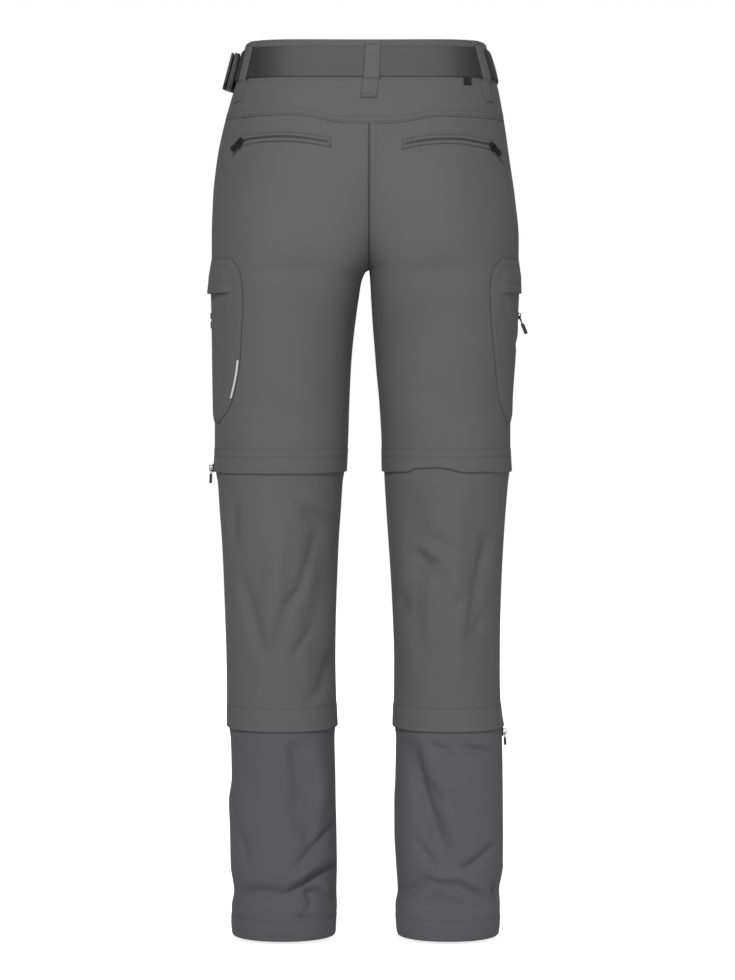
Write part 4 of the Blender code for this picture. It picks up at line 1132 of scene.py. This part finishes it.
def cargo_out(side, angle, z):
    """How far the cargo pocket's cloth stands from the thigh, away from its edges."""
    share = np.clip(1 - (angle / cargo_angle(side, z)) ** 2, 0, 1)
    down = (CARGO_EDGE[0].z - z) / (CARGO_EDGE[0].z - CARGO_EDGE[-1].z)
    fullness = np.sqrt(np.clip(4 * down * (1 - down), 0, 1))
    return CARGO_LIFT + CARGO_BULGE * share * fullness


def edge_distance(points):
    """How far each point of a grid lies from its row's nearer end, and its column's two ends."""
    across, down = lengths(points)
    return np.minimum(across, across[:, -1:] - across), down, down[-1:] - down


CargoFold = namedtuple("CargoFold", "side path width height")
CARGO_FOLDS = (
    CargoFold("right", ((159, -284), (166, -304), (173, -328)), 3.5, -1.1),
    CargoFold("right", ((164, -282), (170, -300), (177, -322)), 4.0, 0.9),
    CargoFold("right", ((152, -300), (156, -350)), 6.0, -0.5),
    CargoFold("left", ((150, -300), (163, -330)), 5.0, -0.6),
    CargoFold("left", ((170, -290), (166, -325), (168, -370)), 6.0, -0.7),
)


def cargo_surface(side, angles, heights):
    """How far the pocket's cloth stands out, falling to the thigh at its stitched edges."""
    flat = cloth("thigh", side, angles, heights, CARGO_LIFT)
    nearest = np.minimum.reduce(edge_distance(flat))
    full = cargo_out(side, angles, heights)
    high = CARGO_EDGE_OUT + (full - CARGO_EDGE_OUT) * ease(0.5, 9, nearest)
    width = np.abs(cloth("thigh", side, angles, heights)[..., 0])
    for fold in CARGO_FOLDS:
        if fold.side == side:
            away, _ = along_path(fold.path, width, heights)
            inwards = ease(3, 10, nearest)
            high = high + (angles > -10) * inwards * fold.height * np.exp(-((away / fold.width) ** 2))
    return sunk(high, nearest, SEAM_STITCHES, 0.3) - 0.5 * bump_at(nearest, 0, 0.5)


def cargo_places(side, tops, count, reach=1.0):
    """Angles and heights of a grid between the pocket's edges, close together beside them."""
    edge = CARGO_STEPS / 70
    shares = np.concatenate([edge, np.linspace(edge[-1], 2 - edge[-1], count)[1:-1], 2 - edge[::-1]]) - 1
    heights = tops[:, None]
    angles = -cargo_angle(side, heights) * shares[None, :] * reach
    return angles, heights + 0 * angles


def flap_out(side, angles, heights):
    """The flap's inner and outer heights. Its ends and top sink into the pocket."""
    sideways, from_top, from_end = edge_distance(cloth("thigh", side, angles, heights, CARGO_LIFT))
    down = (FLAP_TOP - heights) / (FLAP_TOP - FLAP_BOTTOM)
    middle = np.clip(np.cos(np.radians(angles) * 1.4), 0, 1)
    risen = ease(0, 16, sideways) * ease(0, 12, from_top)
    low = cargo_out(side, angles, heights) - 0.25 + (0.6 + FLAP_LIFT[side] * down**2 * middle) * risen
    for height, width, lift in ((-253, 4.0, 0.7), (-259, 2.2, -1.0), (-264, 2.4, 0.9)):
        slope = height + FLAP_SLOPE[side] * (np.abs(angles) - 20)
        low = low + lift * risen * bump_at(heights, slope, width) * ease(6, 30, np.abs(angles))
    high = low + 0.45 + 0.8 * risen - 0.4 * bump_at(from_end, 0, 0.5)
    return low, high - 0.3 * risen * bump_at(from_end, 2, 0.8)


def cargo_pockets():
    top, end, steps = CARGO_EDGE[0].z, CARGO_EDGE[-1].z, CARGO_STEPS
    tops = np.concatenate([top - steps, np.linspace(top - 12, end + 12, 46), end + steps[::-1]])
    flap_ends = FLAP_TOP - steps[:-1], FLAP_BOTTOM + steps[:-1][::-1]
    flap_tops = np.concatenate([flap_ends[0], np.linspace(-248, -259, 6), flap_ends[1]])
    for side in SIDES:
        place = "thigh", side, *cargo_places(side, tops, 42)
        high = cargo_surface(*place[1:])
        low = np.minimum(high - CLOTH, 0.9 + 0 * high) - 0.6 * (high < 1.7)
        wall(f"cargo_pocket_{side}", "cloth", place, high, low, GREY_CLOTH)
        place = "thigh", side, *cargo_places(side, flap_tops, 36, FLAP_SHARE)
        low, high = flap_out(*place[1:])
        wall(f"cargo_flap_{side}", "cloth", place, high, low, GREY_CLOTH)

        heights = np.linspace(-288, -382, 50)[:, None]
        angles = CARGO_ZIP_ANGLE[side] + np.linspace(3.3, -3.3, 9)[None, :] + 0 * heights
        place = "thigh", side, angles, heights + 0 * angles
        low = cargo_out(*place[1:]) + 0.45
        tape = {"slot": "black_webbing", "held": "stretched"}
        wall(f"cargo_zip_{side}", "tape", place, low + 0.6, low, WEBBING, **tape)
        z = np.linspace(-292, -378, 60)
        angle = CARGO_ZIP_ANGLE[side] + 0 * z
        line = cloth("thigh", side, angle, z, cargo_out(side, angle, z) + 1.15)
        row_piece(f"cargo_teeth_{side}", [line], TEETH, 1.8, 1.1, 1.0)
    heights = np.linspace(-347, -391, 36)[:, None]
    angles = cargo_angle("left", heights) - np.linspace(0.6, 2.4, 9)[None, :]
    across = np.linspace(-1, 1, 9)[None, :] + 0 * angles
    place = "thigh", "left", angles, heights + 0 * angles
    high = 1.5 + 0.4 + 0.9 * np.sqrt(1 - 0.92 * across**2)
    wall("reflective_piping", "bead", place, high, 1.5, PIPING, slot="silver_piping", held=None)


# Zips inside the hems
def zip_bands():
    shares = np.linspace(0, 1, 34)
    for name, leg in (("knee_zip", "thigh"), ("calf_zip", "shin")):
        heights = HEM_AT[leg] + HEM_COVER + np.linspace(ZIP_HEIGHT, 0, 9)
        for side in SIDES:
            angles = []
            for facing, order in ((1, shares[:-1]), (-1, shares[::-1])):
                angles += [panel_angle(leg, side, facing, share, heights) for share in order]
            grid = np.stack(angles, 1)
            place = leg, side, grid, heights[:, None] + 0 * grid
            tape = {"slot": "black_webbing", "held": "stretched", "closed": True}
            wall(f"{name}_{side}", "tape", place, -CLOTH - 0.45, -CLOTH - 1.15, WEBBING, **tape)
            line = cloth(*place, -CLOTH - 0.8)[4]
            row_piece(f"{name}_{side}_teeth", [line], TEETH, 1.8, 1.1, 0.45)


# Sliders, pull tabs and the belt's buckle
def moulded_copy(node, round_by, segments=2):
    """The CAD's own hard piece, merged and with its edges rounded."""
    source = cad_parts[node]
    made = source.copy()
    made.data = source.data.copy()
    for key in list(made.keys()):
        del made[key]
    made.parent = None
    made.name = f"{node}_moulded"
    made.data.name = made.name
    bpy.context.scene.collection.objects.link(made)
    work = bmesh.new()
    work.from_mesh(made.data)
    bmesh.ops.remove_doubles(work, verts=work.verts, dist=MERGE_WITHIN * MM)
    inside = [edge for edge in work.edges if len(edge.link_faces) == 2]
    flat = [edge for edge in inside if edge.calc_face_angle(0) < FLAT_BELOW]
    bmesh.ops.dissolve_edges(work, edges=flat, use_verts=False)
    inside = [edge for edge in work.edges if len(edge.link_faces) == 2]
    corners = [edge for edge in inside if edge.calc_face_angle(0) > CORNER_ABOVE]
    bmesh.ops.bevel(work, geom=corners, offset=round_by * MM, segments=segments, profile=0.6, affect="EDGES")
    bmesh.ops.recalc_face_normals(work, faces=work.faces)
    work.to_mesh(made.data)
    work.free()
    made.data.shade_smooth()
    made.data.set_sharp_from_angle(angle=SHARP_FROM)
    made.data.materials.clear()
    made.data.materials.append(PLASTIC)
    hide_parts(node)
    return made


def hardware():
    for name in sorted(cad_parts):
        if name.endswith("_slider"):
            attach(moulded_copy(name, 0.28), GARMENT)
        elif name.endswith("_pull"):
            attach(moulded_copy(name, 0.25), name.replace("_pull", "_tab"))
    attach(moulded_copy("belt_buckle", 0.5), GARMENT)


# Stitches
def stitched(leg, side, facing, share, z):
    """A row of thread along a panel, just above the cloth's relief there."""
    relief = seam_relief(leg, side, facing, share, z - HEM_AT[leg], z)
    return on_panel(leg, side, facing, share, z, relief + THREAD_RISE)


def hem_stitches():
    """Rows of stitches round each hem, in every panel."""
    shares = np.linspace(0.004, 0.996, 90)
    lines = []
    for leg, hem in HEM_AT.items():
        for side in SIDES:
            for facing, _ in FACINGS:
                for line in HEMS[leg].stitches:
                    lines.append(stitched(leg, side, facing, shares, hem + line + 0 * shares))
    return lines


def seam_stitches():
    """Rows of stitches along the side seams, inseams and centre-back seam."""
    lines = []
    for leg, top in (("thigh", -72), ("shin", KNEE_HEM), ("ankle", CALF_HEM)):
        z = np.linspace(top, HEM_AT[leg] + 2, 160)
        below = z if leg != "thigh" else z[z < CROTCH - 8]
        inseam = INSEAM_STITCHES[0] / PANEL_WIDTH[leg] + 0 * below
        for side in SIDES:
            for line in SEAM_STITCHES:
                lines.append(stitched(leg, side, 1, 1 - line / PANEL_WIDTH[leg] + 0 * z, z))
            lines.append(stitched(leg, side, -1, inseam, below))
    z = np.linspace(-78, CROTCH + 8, 90)
    for line in SEAM_STITCHES:
        lines.append(stitched("thigh", "right", 1, line / PANEL_WIDTH["thigh"] + 0 * z, z))
    return lines


def waist_stitches():
    """Rows of stitches on the waistband, the yoke, the loops and the seat."""
    lines = []
    shares = np.linspace(0.003, 0.997, 90)
    for side in SIDES:
        for facing, _ in FACINGS:
            z = waist_top(panel_angle("thigh", side, facing, shares, 0.0)) - 2.6
            lines.append(on_panel("thigh", side, facing, shares, z, 0.15))
        for up in (2.2, 7.0):
            lines.append(on_panel("thigh", side, 1, shares, yoke_seam(side, shares) + up, 0.55))
    for name, side, angle, width, bottom in BELT_LOOPS:
        across = np.linspace(-0.42, 0.42, 8) * width
        angles = angle + across / mm_per_degree(side, angle)
        for height in np.linspace(bottom + 0.8, bottom + 3.2, 2):
            lines.append(cloth("thigh", side, angles, height, ROOM + 2.25))
    for side, first, last in (("left", 137, 149), ("left", 81, 108), ("right", 111, 130)):
        w = np.linspace(first, last, 16)
        lines.append(cloth("thigh", side, angle_at("thigh", side, w, SEAT_LINE + 0 * w), SEAT_LINE, 0.1))
    return lines


def seam_shadow_cords():
    """Near-black lines of thread along the seams that paint their shadow: centre back, yoke, pockets' edges
    and loops.
    """
    z = np.linspace(-76, CROTCH + 3, 100)
    back = on_panel("thigh", "right", 1, 0.2 / PANEL_WIDTH["thigh"] + 0 * z, z, -0.25)
    back[:, 0] = MIDDLE_LINE
    lines = [back]
    shares = np.linspace(0.003, 0.995, 120)
    for side in SIDES:
        lines.append(on_panel("thigh", side, 1, shares, yoke_seam(side, shares) - 0.1, -0.12))
        z = np.linspace(CARGO_EDGE[0].z - 1, CARGO_EDGE[-1].z + 0.5, 130)
        for facing, _ in FACINGS:
            lines.append(cloth("thigh", side, facing * (cargo_angle(side, z) + 0.12), z, 0.2))
        bottom = float(cargo_angle(side, z[-1]))
        lines.append(cloth("thigh", side, np.linspace(bottom, -bottom, 30), CARGO_EDGE[-1].z - 0.3, 0.2))
    for name, side, angle, width, bottom in BELT_LOOPS:
        centre, edge = float(belt_centre(angle)), BELT_WIDTH / 2
        for z, out in (
            (np.linspace(centre + edge, centre - edge, 14), ROOM + BELT_THICK),
            (np.linspace(centre - edge - 2, bottom + 0.5, 10), 0.1),
        ):
            for turn in (1, -1):
                beside = turn * (width / 2 + 0.2) / mm_per_degree(side, angle)
                lines.append(cloth("thigh", side, angle + beside, z, out))
    return lines


def welt_edge_shadows():
    """Continuous lines of charcoal thread round the back pockets' welts, a painted shadow along the seams
    where they are sewn down.
    """
    lines = []
    first, last = WELT_LINE[0].z, WELT_LINE[-1].z
    for side in SIDES:
        for offset in (WELT_HALF + 0.2, -WELT_HALF - 0.2):
            place = welt_angles(side, np.linspace(first, last, 70), np.array([offset]))
            lines.append(cloth("thigh", side, *place, 0.1)[0])
        heights = smooth_curve(first, WELT_LINE, side) + np.linspace(-WELT_HALF, WELT_HALF, 6)
        outs = first - 0.2 + 0 * heights
        lines.append(cloth("thigh", side, angle_at("thigh", side, outs, heights), heights, 0.1))
    return lines


def pocket_stitches():
    """Rows of stitches round the cargo pockets and on the back pockets' welts."""
    lines = []
    top, end = CARGO_EDGE[0].z, CARGO_EDGE[-1].z
    for side in SIDES:
        for line in SEAM_STITCHES:
            for facing, _ in FACINGS:
                z = np.linspace(top - line, end + line, 80)
                turn = cargo_angle(side, z) - line / CARGO_MM_PER_DEGREE
                lines.append(cloth("thigh", side, facing * turn, z, cargo_stitch_out(side, turn, z, line)))
            z = end + line
            turn = float(cargo_angle(side, z)) - line / CARGO_MM_PER_DEGREE
            angles = np.linspace(turn, -turn, 50)
            lines.append(cloth("thigh", side, angles, z, cargo_stitch_out(side, angles, z, line)))
        for offset in (WELT_HALF - 0.9, 0.9 - WELT_HALF):
            outs = np.linspace(WELT_LINE[0].z + 1, WELT_LINE[-1].z - 1, 60)
            place = welt_angles(side, outs, np.array([offset]))
            lines.append(cloth("thigh", side, *place, 1.6)[0])
    return lines


def cargo_stitch_out(side, angles, z, line):
    """The pocket's height on a row of stitches this far inside its edge."""
    full = cargo_out(side, angles, z + 0 * angles)
    return CARGO_EDGE_OUT + (full - CARGO_EDGE_OUT) * ease(0.5, 9, line) - 0.3 + 0.15


def make_garment():
    upper_panels()
    lower_panels()
    waistband()
    back_yoke()
    belt()
    belt_loops()
    fly_and_label()
    back_pockets()
    cargo_pockets()
    zip_bands()
    hardware()
    for lines_of in (hem_stitches, seam_stitches, waist_stitches, pocket_stitches):
        name = lines_of.__name__.replace("stitches", "stitching")
        row_piece(name, lines_of(), STITCHES)
    # Painted seam shadows, as continuous near-black thread
    row_piece("seam_shadow_cords", seam_shadow_cords(), SHADOW_CORDS, CORD_PITCH, CORD_LENGTH, 0.42)
    # Painted shadow lines round the welts, in charcoal thread
    row_piece("welt_edge_shadows", welt_edge_shadows(), STITCHES, CORD_PITCH, CORD_LENGTH, 0.3)


# Camera, floor and light
SENSOR = 36.0
FRAME_ROWS, FOCAL_ROWS, TILT_ROWS = 980, 2945, 140
SKY = 0.21
FLOOR_GLOW = 0.8


def camera():
    lens = bpy.data.cameras.new("camera")
    lens.sensor_fit = "VERTICAL"
    lens.sensor_height = SENSOR
    lens.lens = SENSOR * FOCAL_ROWS / FRAME_ROWS
    eye = put_in_scene("camera", lens)
    eye.location = (-0.00119, 3.5, -0.335)
    eye.rotation_euler = (math.pi / 2 - math.atan(TILT_ROWS / FOCAL_ROWS), 0, math.pi)
    bpy.context.scene.camera = eye


def floor():
    mesh = bpy.data.meshes.new("floor")
    low = LEG_HEM * MM - 0.004
    mesh.from_pydata([(-9, -9, low), (9, -9, low), (9, 9, low), (-9, 9, low)], [], [(0, 1, 2, 3)])
    finish = bpy.data.materials.new("pale_floor")
    finish.use_nodes = True
    tree = finish.node_tree
    shader = tree.nodes["Principled BSDF"]
    place = add(tree, "ShaderNodeTexCoord")
    shade = scaled(tree, noise(tree, place.outputs["Object"], 3.0, 2.0), 0.01, 0.93)
    tree.links.new(shade, shader.inputs["Base Color"])
    shader.inputs["Roughness"].default_value = 0.9
    shader.inputs["Specular IOR Level"].default_value = 0.0
    shader.inputs["Emission Color"].default_value = (1, 1, 1, 1)
    seen = add(tree, "ShaderNodeLightPath").outputs["Is Camera Ray"]
    tree.links.new(math_node(tree, "MULTIPLY", seen, FLOOR_GLOW), shader.inputs["Emission Strength"])
    mesh.materials.append(finish)
    put_in_scene("floor", mesh)


def light(name, place, target, size, power):
    lamp = bpy.data.lights.new(name, "AREA")
    lamp.shape = "DISK"
    lamp.size = size
    lamp.energy = power
    made = put_in_scene(name, lamp)
    made.location = place
    made.rotation_euler = (Vector(target) - Vector(place)).to_track_quat("-Z", "Y").to_euler()


def studio():
    world = bpy.data.worlds.new("studio")
    world.use_nodes = True
    tree = world.node_tree
    back = tree.nodes["Background"]
    seen = add(tree, "ShaderNodeLightPath").outputs["Is Camera Ray"]
    strength = scaled(tree, seen, 1.0 - SKY, SKY)
    back.inputs["Color"].default_value = (1, 1, 1, 1)
    tree.links.new(strength, back.inputs["Strength"])
    bpy.context.scene.world = world
    bpy.context.scene.view_settings.view_transform = "Standard"
    light("main_light", (0.6, 3.6, 2.1), (0, 0, -0.5), 0.9, 107)
    light("fill_light", (-0.9, 3.8, 0.1), (0, 0, -0.5), 1.2, 22)
    light("front_light", (-0.5, -3.8, 1.1), (0, 0, -0.45), 1.6, 62)


make_garment()
camera()
floor()
studio()
